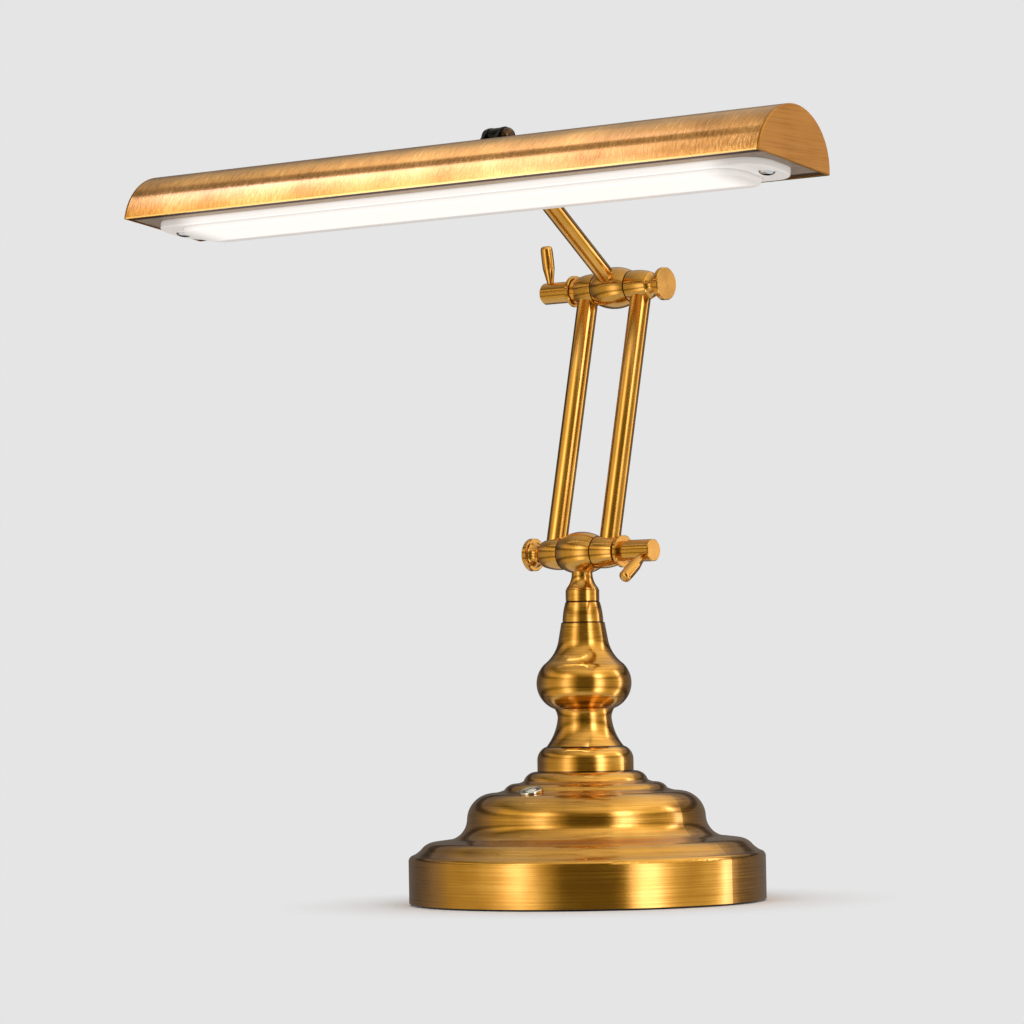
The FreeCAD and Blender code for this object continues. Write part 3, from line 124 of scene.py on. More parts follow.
noiseSpan = {"From Min": 0.3, "From Max": 0.7}  # most of a noise texture's values lie here
speckTones = (0.35, 0.65)  # where the two colours of specks lie in the noise
speckSpread = 0.15  # share by which the roughness of specks is lower or higher
cornerSamples = 8  # rays that find how open a corner is


# Noise scale for a grain in mm: the cells are twice the grain and its octaves halve them
def grainScale(grain):
    return 500.0 / grain


# Brass, spun or turned, brushed on the lathe and lacquered: fine rings round the axis, reflections
# stretched across them, a thin sharp gleam of the clear coat, and painted shade darkening its seams and
# corners
lacqueredBrass = {
    "dark": "#AE7E2C",
    "middle": "#CB9538",
    "light": "#E2AE52",
    "tones": (0.36, 0.5, 0.64),   # where those three colours lie in the noise
    "grain": 0.28,                # mm between brush lines; real ones, at 0.05 mm, wouldn't show
    "lineNoise": {"Detail": 3.0, "Roughness": 0.6},
    "lineFade": 0.0008,           # m, radius of the noise's own circle in a turn: slow fading
    "cloudScale": 38.0,           # patches about 26 mm wide, lighter or darker
    "roughness": 0.19,
    "spread": 0.07,               # between the smoothest and the roughest lines
    "stretch": 0.6,               # of the reflections
    "stretchTurn": 0.25,          # a quarter turn from the lines, so it runs across them
    "bump": 0.04,
    "lineDepth": 0.00005,         # m
    "coat": 0.6,
    "coatRoughness": 0.07,
    # painted shade in seams and corners, darker where they are less open
    "cornerShade": "#4A2A08",
    "cornerShadeReach": 0.0011,          # m
    "cornerShadeOpen": (0.25, 0.72),     # openness of a corner that is all dark, and of one that is clean
    "joint": "#3A1E06",
    "jointReach": 0.00045,        # m
    # painted highlight along the shade sheet's lower edge
    "lipHighlight": "#E6BC72",
    "lipHighlightReach": 0.0009,           # m
    "markCore": 0.45,             # share of a line's reach that has its full colour
}


def brushedShader(tree, lines, clouds, values, tangent=None, marks=()):
    # marks: (distance output, reach in metres, colour) for fine lines such as dark joints and a painted
    # highlight along a lip; the tone is the mean of the lines and the clouds
    mixed = addNode(tree, "ShaderNodeMath", {1: 0.5}, {0: clouds.outputs["Fac"]}, operation="MULTIPLY")
    tone = addNode(tree, "ShaderNodeMath", {1: 0.5}, {0: lines.outputs["Fac"], 2: mixed.outputs[0]},
                   operation="MULTIPLY_ADD")
    metal = addNode(tree, "ShaderNodeValToRGB", links={"Fac": tone.outputs[0]}, stops=[
        *zip(values["tones"], (values["dark"], values["middle"], values["light"]))])
    # painted shade: seams and corners darken by how open they are
    corner = addNode(tree, "ShaderNodeAmbientOcclusion", {"Distance": values["cornerShadeReach"]},
                     samples=cornerSamples)
    clean = addNode(tree, "ShaderNodeMapRange", {"From Min": values["cornerShadeOpen"][0],
                                                 "From Max": values["cornerShadeOpen"][1]},
                    {"Value": corner.outputs["AO"]}, interpolation_type="SMOOTHSTEP")
    paintedShadeAndMarks = addNode(tree, "ShaderNodeMix", {6: linear(values["cornerShade"])},
                   {0: clean.outputs[0], 7: metal.outputs["Color"]}, data_type="RGBA")
    for distance, reach, tint in marks:
        clear = addNode(tree, "ShaderNodeMapRange", {"From Min": reach * values["markCore"],
                                                     "From Max": reach}, {"Value": distance})
        paintedShadeAndMarks = addNode(tree, "ShaderNodeMix", {6: linear(tint)},
                       {0: clear.outputs[0], 7: paintedShadeAndMarks.outputs[2]}, data_type="RGBA")
    roughness = addNode(tree, "ShaderNodeMapRange", {
        **noiseSpan, "To Min": values["roughness"] - values["spread"] / 2,
        "To Max": values["roughness"] + values["spread"] / 2}, {"Value": lines.outputs["Fac"]})
    relief = addNode(tree, "ShaderNodeBump", {"Strength": values["bump"],
                                              "Distance": values["lineDepth"]},
                     {"Height": lines.outputs["Fac"]})
    links = {"Base Color": paintedShadeAndMarks.outputs[2], "Roughness": roughness.outputs[0],
             "Normal": relief.outputs[0]}
    if tangent:
        links["Tangent"] = tangent.outputs[0]
    shader = addNode(tree, "ShaderNodeBsdfPrincipled", {
        "Metallic": 1.0, "Anisotropic": values["stretch"] if tangent else 0.0,
        "Anisotropic Rotation": values["stretchTurn"], "Coat Weight": values["coat"],
        "Coat Roughness": values["coatRoughness"]}, links)
    addNode(tree, "ShaderNodeOutputMaterial", links={"Surface": shader.outputs[0]})


# joints are heights along the axis with a dark line, lipHighlight is the height of the sheet's lower
# edge, along which a highlight is painted
def latheBrass(name, axis, centre=(0.0, 0.0, 0.0), joints=(), lipHighlight=None, **changes):
    values = {**lacqueredBrass, **changes}
    made, tree = newMaterial(name)
    turnTo = Vector(axis).to_track_quat("Z", "Y").inverted().to_euler()
    spot = addNode(tree, "ShaderNodeTexCoord")
    moved = addNode(tree, "ShaderNodeVectorMath", {1: centre}, {0: spot.outputs["Object"]},
                    operation="SUBTRACT")
    local = addNode(tree, "ShaderNodeVectorRotate", {"Rotation": turnTo}, {"Vector": moved.outputs[0]},
                    rotation_type="EULER_XYZ")
    parts = addNode(tree, "ShaderNodeSeparateXYZ", links={0: local.outputs[0]})
    flat = addNode(tree, "ShaderNodeCombineXYZ", links={0: parts.outputs[0], 1: parts.outputs[1]})
    radius = addNode(tree, "ShaderNodeVectorMath", links={0: flat.outputs[0]}, operation="LENGTH")
    # the lines run round the axis and fade in and out slowly along their way
    around = addNode(tree, "ShaderNodeVectorMath", links={0: flat.outputs[0]}, operation="NORMALIZE")
    slow = addNode(tree, "ShaderNodeVectorMath", {1: (values["lineFade"], values["lineFade"], 0.0)},
                   {0: around.outputs[0]}, operation="MULTIPLY")
    rings = addNode(tree, "ShaderNodeCombineXYZ", links={
        0: radius.outputs["Value"], 1: radius.outputs["Value"], 2: parts.outputs[2]})
    traced = addNode(tree, "ShaderNodeVectorMath", links={0: rings.outputs[0], 1: slow.outputs[0]},
                     operation="ADD")
    lines = addNode(tree, "ShaderNodeTexNoise", {
        "Scale": grainScale(values["grain"]), **values["lineNoise"]}, {"Vector": traced.outputs[0]})
    clouds = addNode(tree, "ShaderNodeTexNoise", {"Scale": values["cloudScale"], "Detail": 2.0},
                     {"Vector": spot.outputs["Object"]})
    along = addNode(tree, "ShaderNodeTangent", direction_type="RADIAL", axis="XYZ"[axis.index(1)])
    marks = []
    for place in joints:
        off = addNode(tree, "ShaderNodeMath", {1: place}, {0: parts.outputs[2]}, operation="SUBTRACT")
        gap = addNode(tree, "ShaderNodeMath", links={0: off.outputs[0]}, operation="ABSOLUTE")
        marks.append((gap.outputs[0], values["jointReach"], values["joint"]))
    # a painted highlight along the sheet's lower edge
    if lipHighlight:
        height = addNode(tree, "ShaderNodeVectorMath", {1: shadeUp}, {0: spot.outputs["Object"]},
                         operation="DOT_PRODUCT")
        above = addNode(tree, "ShaderNodeMath", {1: lipHighlight}, {0: height.outputs["Value"]},
                        operation="SUBTRACT")
        marks.append((above.outputs[0], values["lipHighlightReach"], values["lipHighlight"]))
    brushedShader(tree, lines, clouds, values, along, marks)
    return made


# Brass sheet or tube, brushed straight with a belt and lacquered: scratches in one direction, along
# the axes whose share in stretch is small
def beltBrass(name, stretch, **changes):
    values = {**lacqueredBrass, "cloudScale": 30.0, **changes}
    made, tree = newMaterial(name)
    spot = addNode(tree, "ShaderNodeTexCoord")
    drawn = addNode(tree, "ShaderNodeVectorMath", {1: stretch}, {0: spot.outputs["Object"]},
                    operation="MULTIPLY")
    lines = addNode(tree, "ShaderNodeTexNoise", {
        "Scale": grainScale(values["grain"]), **values["lineNoise"]}, {"Vector": drawn.outputs[0]})
    clouds = addNode(tree, "ShaderNodeTexNoise", {"Scale": values["cloudScale"], "Detail": 2.0},
                     {"Vector": spot.outputs["Object"]})
    brushedShader(tree, lines, clouds, values)
    return made


# A finish with fine specks of two colours; the specks' grain in mm, the depth of their relief in m
def plainFinish(name, colours, grain, roughness, metallic=0.0, bump=0.1, depth=0.0001, **sockets):
    made, tree = newMaterial(name)
    spot = addNode(tree, "ShaderNodeTexCoord")
    specks = addNode(tree, "ShaderNodeTexNoise", {"Scale": grainScale(grain), "Detail": 4.0},
                     {"Vector": spot.outputs["Object"]})
    colour = addNode(tree, "ShaderNodeValToRGB", links={"Fac": specks.outputs["Fac"]},
                     stops=[*zip(speckTones, colours)])
    rough = addNode(tree, "ShaderNodeMapRange", {
        **noiseSpan, "To Min": roughness * (1 - speckSpread), "To Max": roughness * (1 + speckSpread)},
        {"Value": specks.outputs["Fac"]})
    relief = addNode(tree, "ShaderNodeBump", {"Strength": bump, "Distance": depth},
                     {"Height": specks.outputs["Fac"]})
    shader = addNode(tree, "ShaderNodeBsdfPrincipled", {"Metallic": metallic, **sockets}, {
        "Base Color": colour.outputs["Color"], "Roughness": rough.outputs[0],
        "Normal": relief.outputs[0]})
    addNode(tree, "ShaderNodeOutputMaterial", links={"Surface": shader.outputs[0]})
    return made


# Opal acrylic, moulded: a frosted grey-white rim, and a window that the chips behind it light evenly
opalDiffuser = {
    "end": "#CAC6C3",
    "window": "#9A9693",
    "endGlow": "#A39E9A",
    "windowGlow": "#FFFAF5",
    "fade": (0.134, 0.160),          # m from the middle, over which the glow ends
    "border": 0.0050,                # m, unlit at the back
    "borderFade": 0.002,             # m, on each side of the border's edge
    "foot": 0.0015,                  # m of its lowest part, whose back edge the border starts from
    # painted shade on the steps' side walls and in corners
    "wallGlow": 0.82,                # of the side walls of its steps
    "faceGlow": 0.84,
    "facing": (0.2, 0.9),            # how far a wall and a face look down
    "cornerReach": 0.0016,           # m
    "cornerOpen": (0.4, 0.92),       # openness of the darkest corner, and of a clean face
    "cornerGlow": 0.45,
    "hazeScale": 60.0,               # patches about 17 mm wide
    "roughness": (0.28, 0.40),
    "bump": 0.05,
    "bumpDepth": 0.0002,             # m
    "scatter": 0.15,
    "scatterReach": 0.002,           # m
}


def opalAcrylic(values):
    made, tree = newMaterial("opal acrylic")
    spot = addNode(tree, "ShaderNodeTexCoord")
    parts = addNode(tree, "ShaderNodeSeparateXYZ", links={0: spot.outputs["Object"]})
    reach = addNode(tree, "ShaderNodeMath", links={0: parts.outputs[0]}, operation="ABSOLUTE")
    ended = addNode(tree, "ShaderNodeMapRange", {"From Min": values["fade"][0],
                                                 "From Max": values["fade"][1]},
                    {"Value": reach.outputs[0]}, interpolation_type="SMOOTHSTEP")
    # the light doesn't reach the border at the back either
    points = [v.co for v in nodes["diffuser"].data.vertices]
    foot = min(shadeUp.dot(point) for point in points) + values["foot"]
    back = max(shadeAcross.dot(point) for point in points if shadeUp.dot(point) < foot)
    edge = back - values["border"]
    depth = addNode(tree, "ShaderNodeVectorMath", {1: shadeAcross}, {0: spot.outputs["Object"]},
                    operation="DOT_PRODUCT")
    rear = addNode(tree, "ShaderNodeMapRange", {"From Min": edge - values["borderFade"],
                                                "From Max": edge + values["borderFade"]},
                   {"Value": depth.outputs["Value"]}, interpolation_type="SMOOTHSTEP")
    unlit = addNode(tree, "ShaderNodeMath", links={0: ended.outputs[0], 1: rear.outputs[0]},
                    operation="MAXIMUM")
    # painted shade: the side walls of its steps glow a little less than the faces, and corners least
    shape = addNode(tree, "ShaderNodeNewGeometry")
    facing = addNode(tree, "ShaderNodeVectorMath", {1: -shadeUp}, {0: shape.outputs["Normal"]},
                     operation="DOT_PRODUCT")
    level = addNode(tree, "ShaderNodeMapRange", {
        "From Min": values["facing"][0], "From Max": values["facing"][1],
        "To Min": values["wallGlow"], "To Max": values["faceGlow"]}, {"Value": facing.outputs["Value"]})
    corner = addNode(tree, "ShaderNodeAmbientOcclusion", {"Distance": values["cornerReach"]},
                     samples=cornerSamples)
    shaded = addNode(tree, "ShaderNodeMapRange", {
        "From Min": values["cornerOpen"][0], "From Max": values["cornerOpen"][1],
        "To Min": values["cornerGlow"]}, {"Value": corner.outputs["AO"]})
    strength = addNode(tree, "ShaderNodeMath", links={0: level.outputs[0], 1: shaded.outputs[0]},
                       operation="MULTIPLY")
    haze = addNode(tree, "ShaderNodeTexNoise", {"Scale": values["hazeScale"], "Detail": 3.0},
                   {"Vector": spot.outputs["Object"]})
    colour = addNode(tree, "ShaderNodeValToRGB", links={"Fac": unlit.outputs[0]},
                     stops=[(0.0, values["window"]), (1.0, values["end"])])
    glow = addNode(tree, "ShaderNodeValToRGB", links={"Fac": unlit.outputs[0]},
                   stops=[(0.0, values["windowGlow"]), (1.0, values["endGlow"])])
    rough = addNode(tree, "ShaderNodeMapRange", {"To Min": values["roughness"][0],
                                                 "To Max": values["roughness"][1]},
                    {"Value": haze.outputs["Fac"]})
    relief = addNode(tree, "ShaderNodeBump", {"Strength": values["bump"],
                                              "Distance": values["bumpDepth"]},
                     {"Height": haze.outputs["Fac"]})
    shader = addNode(tree, "ShaderNodeBsdfPrincipled", {
        "Subsurface Weight": values["scatter"], "Subsurface Scale": values["scatterReach"]}, {
        "Base Color": colour.outputs["Color"], "Emission Color": glow.outputs["Color"],
        "Emission Strength": strength.outputs[0], "Roughness": rough.outputs[0],
        "Normal": relief.outputs[0]})
    addNode(tree, "ShaderNodeOutputMaterial", links={"Surface": shader.outputs[0]})
    return made


# Enamel, baked on steel sheet: taupe, with painted light from the diffuser by the window, and painted
# shade along its long edges under the sheet's lip
lampPlate = {
    "paint": ("#85766A", "#938376"),
    "speckScale": 350.0,             # specks about 3 mm wide, halved three times
    "roughness": 0.45,
    "specular": 0.1,
    "bump": 0.1,
    "bumpDepth": 0.00005,            # m
    # painted light from the diffuser, which the plate emits by the window
    "glow": "#7A6650",
    "endGlow": 0.15,
    "fade": (0.140, 0.162),          # m from the middle, over which the glow ends
    # painted shade along the long edges, under the sheet's lip
    "edge": "#3A1C06",
    "edgeShadeWidth": 0.0056,             # m
    "edgeShadeCore": 0.6,                 # share of that width that is all dark
}


def plateEnamel(values):
    made, tree = newMaterial("lacquered plate")
    spot = addNode(tree, "ShaderNodeTexCoord")
    parts = addNode(tree, "ShaderNodeSeparateXYZ", links={0: spot.outputs["Object"]})
    reach = addNode(tree, "ShaderNodeMath", links={0: parts.outputs[0]}, operation="ABSOLUTE")
    lit = addNode(tree, "ShaderNodeMapRange", {
        "From Min": values["fade"][0], "From Max": values["fade"][1], "To Min": 1.0,
        "To Max": values["endGlow"]}, {"Value": reach.outputs[0]}, interpolation_type="SMOOTHSTEP")
    specks = addNode(tree, "ShaderNodeTexNoise", {"Scale": values["speckScale"], "Detail": 3.0},
                     {"Vector": spot.outputs["Object"]})
    paint = addNode(tree, "ShaderNodeValToRGB", links={"Fac": specks.outputs["Fac"]},
                    stops=[*zip(speckTones, values["paint"])])
    # painted shade: the plate darkens towards its long edges
    sides = [shadeAcross.dot(v.co) for v in nodes["lamp_plate"].data.vertices]
    middle = (max(sides) + min(sides)) / 2
    halfWidth = (max(sides) - min(sides)) / 2
    depth = addNode(tree, "ShaderNodeVectorMath", {1: shadeAcross}, {0: spot.outputs["Object"]},
                    operation="DOT_PRODUCT")
    off = addNode(tree, "ShaderNodeMath", {1: middle}, {0: depth.outputs["Value"]},
                  operation="SUBTRACT")
    aside = addNode(tree, "ShaderNodeMath", links={0: off.outputs[0]}, operation="ABSOLUTE")
    inward = addNode(tree, "ShaderNodeMath", {0: halfWidth}, {1: aside.outputs[0]},
                     operation="SUBTRACT")
    clear = addNode(tree, "ShaderNodeMapRange", {"From Min": values["edgeShadeWidth"] * values["edgeShadeCore"],
                                                 "From Max": values["edgeShadeWidth"]},
                    {"Value": inward.outputs[0]}, interpolation_type="SMOOTHSTEP")
    paintedShadeAndMarks = addNode(tree, "ShaderNodeMix", {6: linear(values["edge"])},
                   {0: clear.outputs[0], 7: paint.outputs["Color"]}, data_type="RGBA")
    # the painted light from the diffuser, kept off the painted shade at the edges
    glow = addNode(tree, "ShaderNodeMath", links={0: lit.outputs[0], 1: clear.outputs[0]},
                   operation="MULTIPLY")
    relief = addNode(tree, "ShaderNodeBump", {"Strength": values["bump"],
                                              "Distance": values["bumpDepth"]},
                     {"Height": specks.outputs["Fac"]})
    shader = addNode(tree, "ShaderNodeBsdfPrincipled", {
        "Emission Color": linear(values["glow"]), "Roughness": values["roughness"],
        "Specular IOR Level": values["specular"]}, {
        "Base Color": paintedShadeAndMarks.outputs[2], "Emission Strength": glow.outputs[0],
        "Normal": relief.outputs[0]})
    addNode(tree, "ShaderNodeOutputMaterial", links={"Surface": shader.outputs[0]})
    return made


# What the brass of each piece changes in the lacquered brass above
baseShell = {"cornerShadeReach": 0.002}
stemParts = {"grain": 0.5, "spread": 0.10}
knuckleParts = {"grain": 0.16, "bump": 0.006, "spread": 0.05, "dark": "#BC8B3A", "light": "#D8A14C"}
armTubes = {"roughness": 0.18, "grain": 0.5, "spread": 0.03, "bump": 0.01}
shadeSheet = {"dark": "#A9742F", "middle": "#C88F47", "light": "#E4AD64", "roughness": 0.22,
              "grain": 0.42, "coat": 0.5, "coatRoughness": 0.14, "bump": 0.025}
shadeCaps = {"dark": "#A36F2B", "middle": "#B67F36", "light": "#CA9148", "roughness": 0.34,
             "grain": 0.35, "coat": 0.15, "coatRoughness": 0.2}
pivotNut = {"dark": "#2C2016", "middle": "#46331F", "light": "#6A4C28", "roughness": 0.28,
            "coat": 0.3}

stemJoints = [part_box(name)[1][2] for name in ("base_shell", "stem_foot", "stem_baluster", "stem_cone")]
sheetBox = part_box("shade_shell")
sheetHeight = 0.309  # m, of the axis that the sheet's brush lines run round
sheetAxis = Vector((0.0, (sheetBox[0][1] + sheetBox[1][1]) / 2, sheetHeight))
sheetLip = min(shadeUp.dot(v.co) for v in nodes["shade_shell"].data.vertices)

spunBrass = latheBrass("spun brass, base", upright, joints=stemJoints[:1], **baseShell)
turnedStem = latheBrass("turned brass, stem", upright, joints=stemJoints, **stemParts)
lowerTurned = latheBrass("turned brass, lower knuckle", sideways, lowerKnuckle, **knuckleParts)
upperTurned = latheBrass("turned brass, upper knuckle", sideways, upperKnuckle, **knuckleParts)
drawnTube = beltBrass("drawn brass tube", (1.0, 0.01, 0.01), **armTubes)
shadeBrass = latheBrass("satin brass sheet", sideways, sheetAxis, lipHighlight=sheetLip, **shadeSheet)
capBrass = beltBrass("satin brass end", (0.02, 0.02, 1.0), **shadeCaps)
agedBrass = latheBrass("aged brass, pivot", sideways, shadePivot, **pivotNut)
# Chrome plate over polished brass: a cool, nearly clean mirror
chrome = plainFinish("chrome plate", ("#D6D8DA", "#E4E5E6"), 6.0, 0.08, 1.0, 0.02)
# Steel, zinc-plated in a barrel: pale grey and softly bright
zincSteel = plainFinish("zinc-plated steel", ("#A9ADB1", "#C3C6C9"), 1.5, 0.30, 1.0)
# Steel, blackened in an oxide bath and oiled: near black with a soft shine
blackOxide = plainFinish("black oxide steel", ("#1B1C1E", "#2C2D30"), 1.0, 0.28, 1.0, 0.05)
# Iron, cast in sand: dark grey, dull and grainy
castIron = plainFinish("cast iron", ("#2E2F31", "#47484A"), 1.2, 0.65, 0.7, 0.6, 0.0004)
# Wool, pressed into felt: dark, without gloss, paler where it is seen along its nap
feltCloth = plainFinish("wool felt", ("#1E1F20", "#34363A"), 0.8, 0.95, 0.0, 0.9, 0.0005,
                        **{"Sheen Weight": 0.5})
# Rubber, moulded: near black and matt
rubberMould = plainFinish("moulded rubber", ("#161616", "#222222"), 2.0, 0.72, 0.0, 0.2)
# Fibre, punched from sheet: red-brown and dry
fibreDisc = plainFinish("vulcanised fibre", ("#4B2A1E", "#6A3C2A"), 0.8, 0.7)
# ABS, moulded in an etched tool: black with a fine even texture
caseAbs = plainFinish("black ABS", ("#141516", "#1F2022"), 0.9, 0.5, 0.0, 0.3)
# Aluminium, rolled and anodised: pale, even and satin
boardMetal = plainFinish("anodised aluminium", ("#B9BBBD", "#D0D2D4"), 1.0, 0.35, 1.0)
# Silicone with phosphor, cast over the chips: yellow and slightly glossy
chipResin = plainFinish("light chip resin", ("#D8B83A", "#E8CC55"), 0.7, 0.4)
plateLacquer = plateEnamel(lampPlate)
opalLens = opalAcrylic(opalDiffuser)
print("materials made")

finishes = {
    spunBrass: ["base_shell"],
    turnedStem: ["stem_foot", "stem_baluster", "stem_cone", "neck_collar"],
    lowerTurned: ["lower_barrel", "lower_ring_left", "lower_ring_right", "lower_cap",
                  "lower_cup_washer", "lower_clamp_nut", "lower_lever"],
    upperTurned: ["upper_barrel", "upper_ring_left", "upper_ring_right", "upper_cap",
                  "upper_cup_washer", "upper_clamp_nut", "upper_lever"],
    drawnTube: ["arm_tube_left", "arm_tube_right", "head_tube"],
    shadeBrass: ["shade_shell"],
    capBrass: ["shade_cap_left", "shade_cap_right"],
    agedBrass: ["pivot_nut"],
    chrome: ["button_bezel", "button_cap", "diffuser_screws"],
    zincSteel: ["stem_tube", "stem_washer", "stem_nut", "plate_screws", "switch_nut", "spacer_sleeve",
                "lower_bolt", "upper_bolt", "base_plate", "bracket_rivets"],
    blackOxide: ["pivot_screw", "shade_bracket", "head_eye"],
    castIron: ["base_weight"],
    feltCloth: ["base_pad"],
    rubberMould: ["cord_bushing"],
    fibreDisc: ["lower_friction_washers", "upper_friction_washers"],
    caseAbs: ["light_driver", "switch_body"],
    plateLacquer: ["lamp_plate"],
    boardMetal: ["light_board"],
    chipResin: ["light_chips"],
    opalLens: ["diffuser"],
}
dressed = set()
for finish, names in finishes.items():
    for name in names:
        slots = nodes[name].data.materials
        slots.clear()
        slots.append(finish)
        dressed.add(name)
print("undressed:", sorted(set(nodes) - dressed))


def newPiece(name, work, finish):
    bmesh.ops.recalc_face_normals(work, faces=work.faces)
    mesh = bpy.data.meshes.new(name)
    work.to_mesh(mesh)
    work.free()
    mesh.materials.append(finish)
    piece = bpy.data.objects.new(name, mesh)
    bpy.context.scene.collection.objects.link(piece)
    return piece


# Punch for a cross recess: its outline's share at the mouth and at the root, and how far it stands
# before the head's face, in mm
crossPunch = {"mouth": 1.1, "root": 0.6, "proud": 0.3}


def cutCross(piece, face, inward, span, width, depth):
    half = span / 2
    arm = width / 2
    outline = [(arm, arm), (half, arm), (half, -arm), (arm, -arm), (arm, -half), (-arm, -half),
               (-arm, -arm), (-half, -arm), (-half, arm), (-arm, arm), (-arm, half), (arm, half)]
    work = bmesh.new()
    mouth = crossPunch["mouth"]
    root = crossPunch["root"]
    outer = [work.verts.new((x * mouth, y * mouth, face - inward * crossPunch["proud"]))
             for x, y in outline]
    inner = [work.verts.new((x * root, y * root, face + inward * depth)) for x, y in outline]
    work.faces.new(outer)
    work.faces.new(inner)
    for i in range(len(outline)):
        j = (i + 1) % len(outline)
        work.faces.new((outer[i], outer[j], inner[j], inner[i]))
    cutter = newPiece("cutter", work, blackOxide)  # its faces take black oxide, painted shade in the recess
    change = piece.modifiers.new("recess", "BOOLEAN")
    change.operation = "DIFFERENCE"
    change.solver = "EXACT"
    change.material_mode = "TRANSFER"
    change.object = cutter
    bpy.context.view_layer.update()
    cut = piece.evaluated_get(bpy.context.evaluated_depsgraph_get())
    piece.data = bpy.data.meshes.new_from_object(cut)
    piece.modifiers.clear()
    bpy.data.objects.remove(cutter)


# Small turned pieces, shown in finer form than the solids; profiles are (radius, height) in mm, and
# recesses are in mm too
turnedSteps = 48  # facets round the axis
sharpAngle = 32  # degrees, from which an edge stays sharp


def turnedPiece(name, profile, origin, axis, body, finish, stands, recess=None):
    work = bmesh.new()
    turns = [2 * math.pi * i / turnedSteps for i in range(turnedSteps)]
    rings = []
    for radius, height in profile:
        if radius == 0:
            rings.append([work.verts.new((0, 0, height))])
        else:
            rings.append([work.verts.new((radius * math.cos(turn), radius * math.sin(turn), height))
                          for turn in turns])
    for low, high in zip(rings, rings[1:]):
        for i in range(turnedSteps):
            j = (i + 1) % turnedSteps
            corners = [low[i % len(low)], low[j % len(low)], high[j % len(high)], high[i % len(high)]]
            work.faces.new(list(dict.fromkeys(corners)))
    piece = newPiece(name, work, finish)
    if recess:
        cutCross(piece, **recess)
    turned = Vector(axis).to_track_quat("Z", "Y").to_matrix().to_4x4()
    piece.data.transform(Matrix.Translation(origin) @ turned @ Matrix.Scale(0.001, 4))  # mm to m
    piece.data.shade_smooth()
    piece.data.set_sharp_from_angle(angle=math.radians(sharpAngle))
    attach(piece, body)
    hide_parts(stands)


# The middle of the end where a solid starts, seen along this axis
footDepth = 0.0002  # m, points no further than this from the lowest belong to that end


def footCentre(points, axis):
    low = min(axis.dot(point) for point in points)
    foot = [point for point in points if axis.dot(point) < low + footDepth]
    return Vector([(min(point[i] for point in foot) + max(point[i] for point in foot)) / 2
                   for i in range(3)])


# Pan head with its shank
diffuserScrew = {
    "profile": [(0, 0), (1.80, 0), (2.20, 0.09), (2.60, 0.23), (2.95, 0.42), (3.22, 0.64),
                (3.45, 0.90), (3.60, 1.10), (1.30, 1.10), (1.30, 6.70), (0, 6.70)],
    "recess": {"face": 0, "inward": 1, "span": 3.8, "width": 1.1, "depth": 0.9},
}
for side, hand in ((-1, "left"), (1, "right")):
    own = [v.co for v in nodes["diffuser_screws"].data.vertices if v.co.x * side > 0]
    turnedPiece("diffuserScrew_" + hand, diffuserScrew["profile"], footCentre(own, shadeUp), shadeUp,
                "shade", chrome, "diffuser_screws", diffuserScrew["recess"])

# Shank and domed head; heights run to the left from the middle of the pivot
pivotScrew = {
    "profile": [(0, -6.79), (2.0, -6.79), (2.0, 4.55), (4.30, 4.55), (4.30, 5.75), (4.13, 6.01),
                (3.93, 6.24), (3.57, 6.54), (3.17, 6.77), (2.58, 6.94), (0, 6.95)],
    "recess": {"face": 6.95, "inward": -1, "span": 3.2, "width": 0.9, "depth": 1.4},
}
turnedPiece("pivotScrewHead", pivotScrew["profile"], shadePivot, (-1, 0, 0), "shade", blackOxide,
            "pivot_screw", pivotScrew["recess"])

# The button's cap: a dished ring round a low dome
buttonCap = {
    "tilt": 16,                   # degrees, of the ledge it sits in
    "radius": 2.94,
    "crown": [(2.94, 1.0), (2.80, 0.62), (2.45, 0.34), (2.25, 0.42), (2.05, 0.36), (1.60, 0.17),
              (0.9, 0.04), (0, 0)],  # radius, and depth below the top
}
buttonTilt = math.radians(buttonCap["tilt"])
buttonAxis = Vector((0.0, -math.sin(buttonTilt), math.cos(buttonTilt)))
capPoints = [v.co for v in nodes["button_cap"].data.vertices]
capLevels = [buttonAxis.dot(point) for point in capPoints]
capHeight = 1000 * (max(capLevels) - min(capLevels))  # m to mm
domedCap = [(0, 0), (buttonCap["radius"], 0)]
domedCap += [(radius, capHeight - depth) for radius, depth in buttonCap["crown"]]
turnedPiece("buttonDome", domedCap, footCentre(capPoints, buttonAxis), buttonAxis, "button", chrome,
            "button_cap")
print("pieces made")


# Studio: a pale floor and surroundings, two soft boxes, a tube overhead, and a wall and cards that
# only reflections see
studio = {
    "grey": "#E5E5E5",
    "fill": 0.70,            # light from all round
    "floor": "#F4F4F4",
    "shadow": (0.084, 0.15),  # m from the middle, over which the floor turns into plain grey
    "floorSide": 12.0,       # m from the middle to an edge
    "floorDrop": 0.00002,    # m below the base
}


# One for what the camera, mirrors and glass see, zero for what lights the object
def seenDirectly(tree):
    path = addNode(tree, "ShaderNodeLightPath")
    first = addNode(tree, "ShaderNodeMath", operation="ADD", links={
        0: path.outputs["Is Camera Ray"], 1: path.outputs["Is Glossy Ray"]})
    return addNode(tree, "ShaderNodeMath", operation="ADD", use_clamp=True, links={
        0: first.outputs[0], 1: path.outputs["Is Transmission Ray"]})


def makeWorld(values):
    world = bpy.data.worlds.new("studio")
    world.use_nodes = True
    tree = world.node_tree
    tree.nodes.clear()
    seen = seenDirectly(tree)
    shown = addNode(tree, "ShaderNodeBackground", {"Color": linear(values["grey"]), "Strength": 1.0})
    fill = addNode(tree, "ShaderNodeBackground", {"Color": (1, 1, 1, 1), "Strength": values["fill"]})
    mix = addNode(tree, "ShaderNodeMixShader", links={
        0: seen.outputs[0], 1: fill.outputs[0], 2: shown.outputs[0]})
    addNode(tree, "ShaderNodeOutputWorld", links={"Surface": mix.outputs[0]})
    bpy.context.scene.world = world


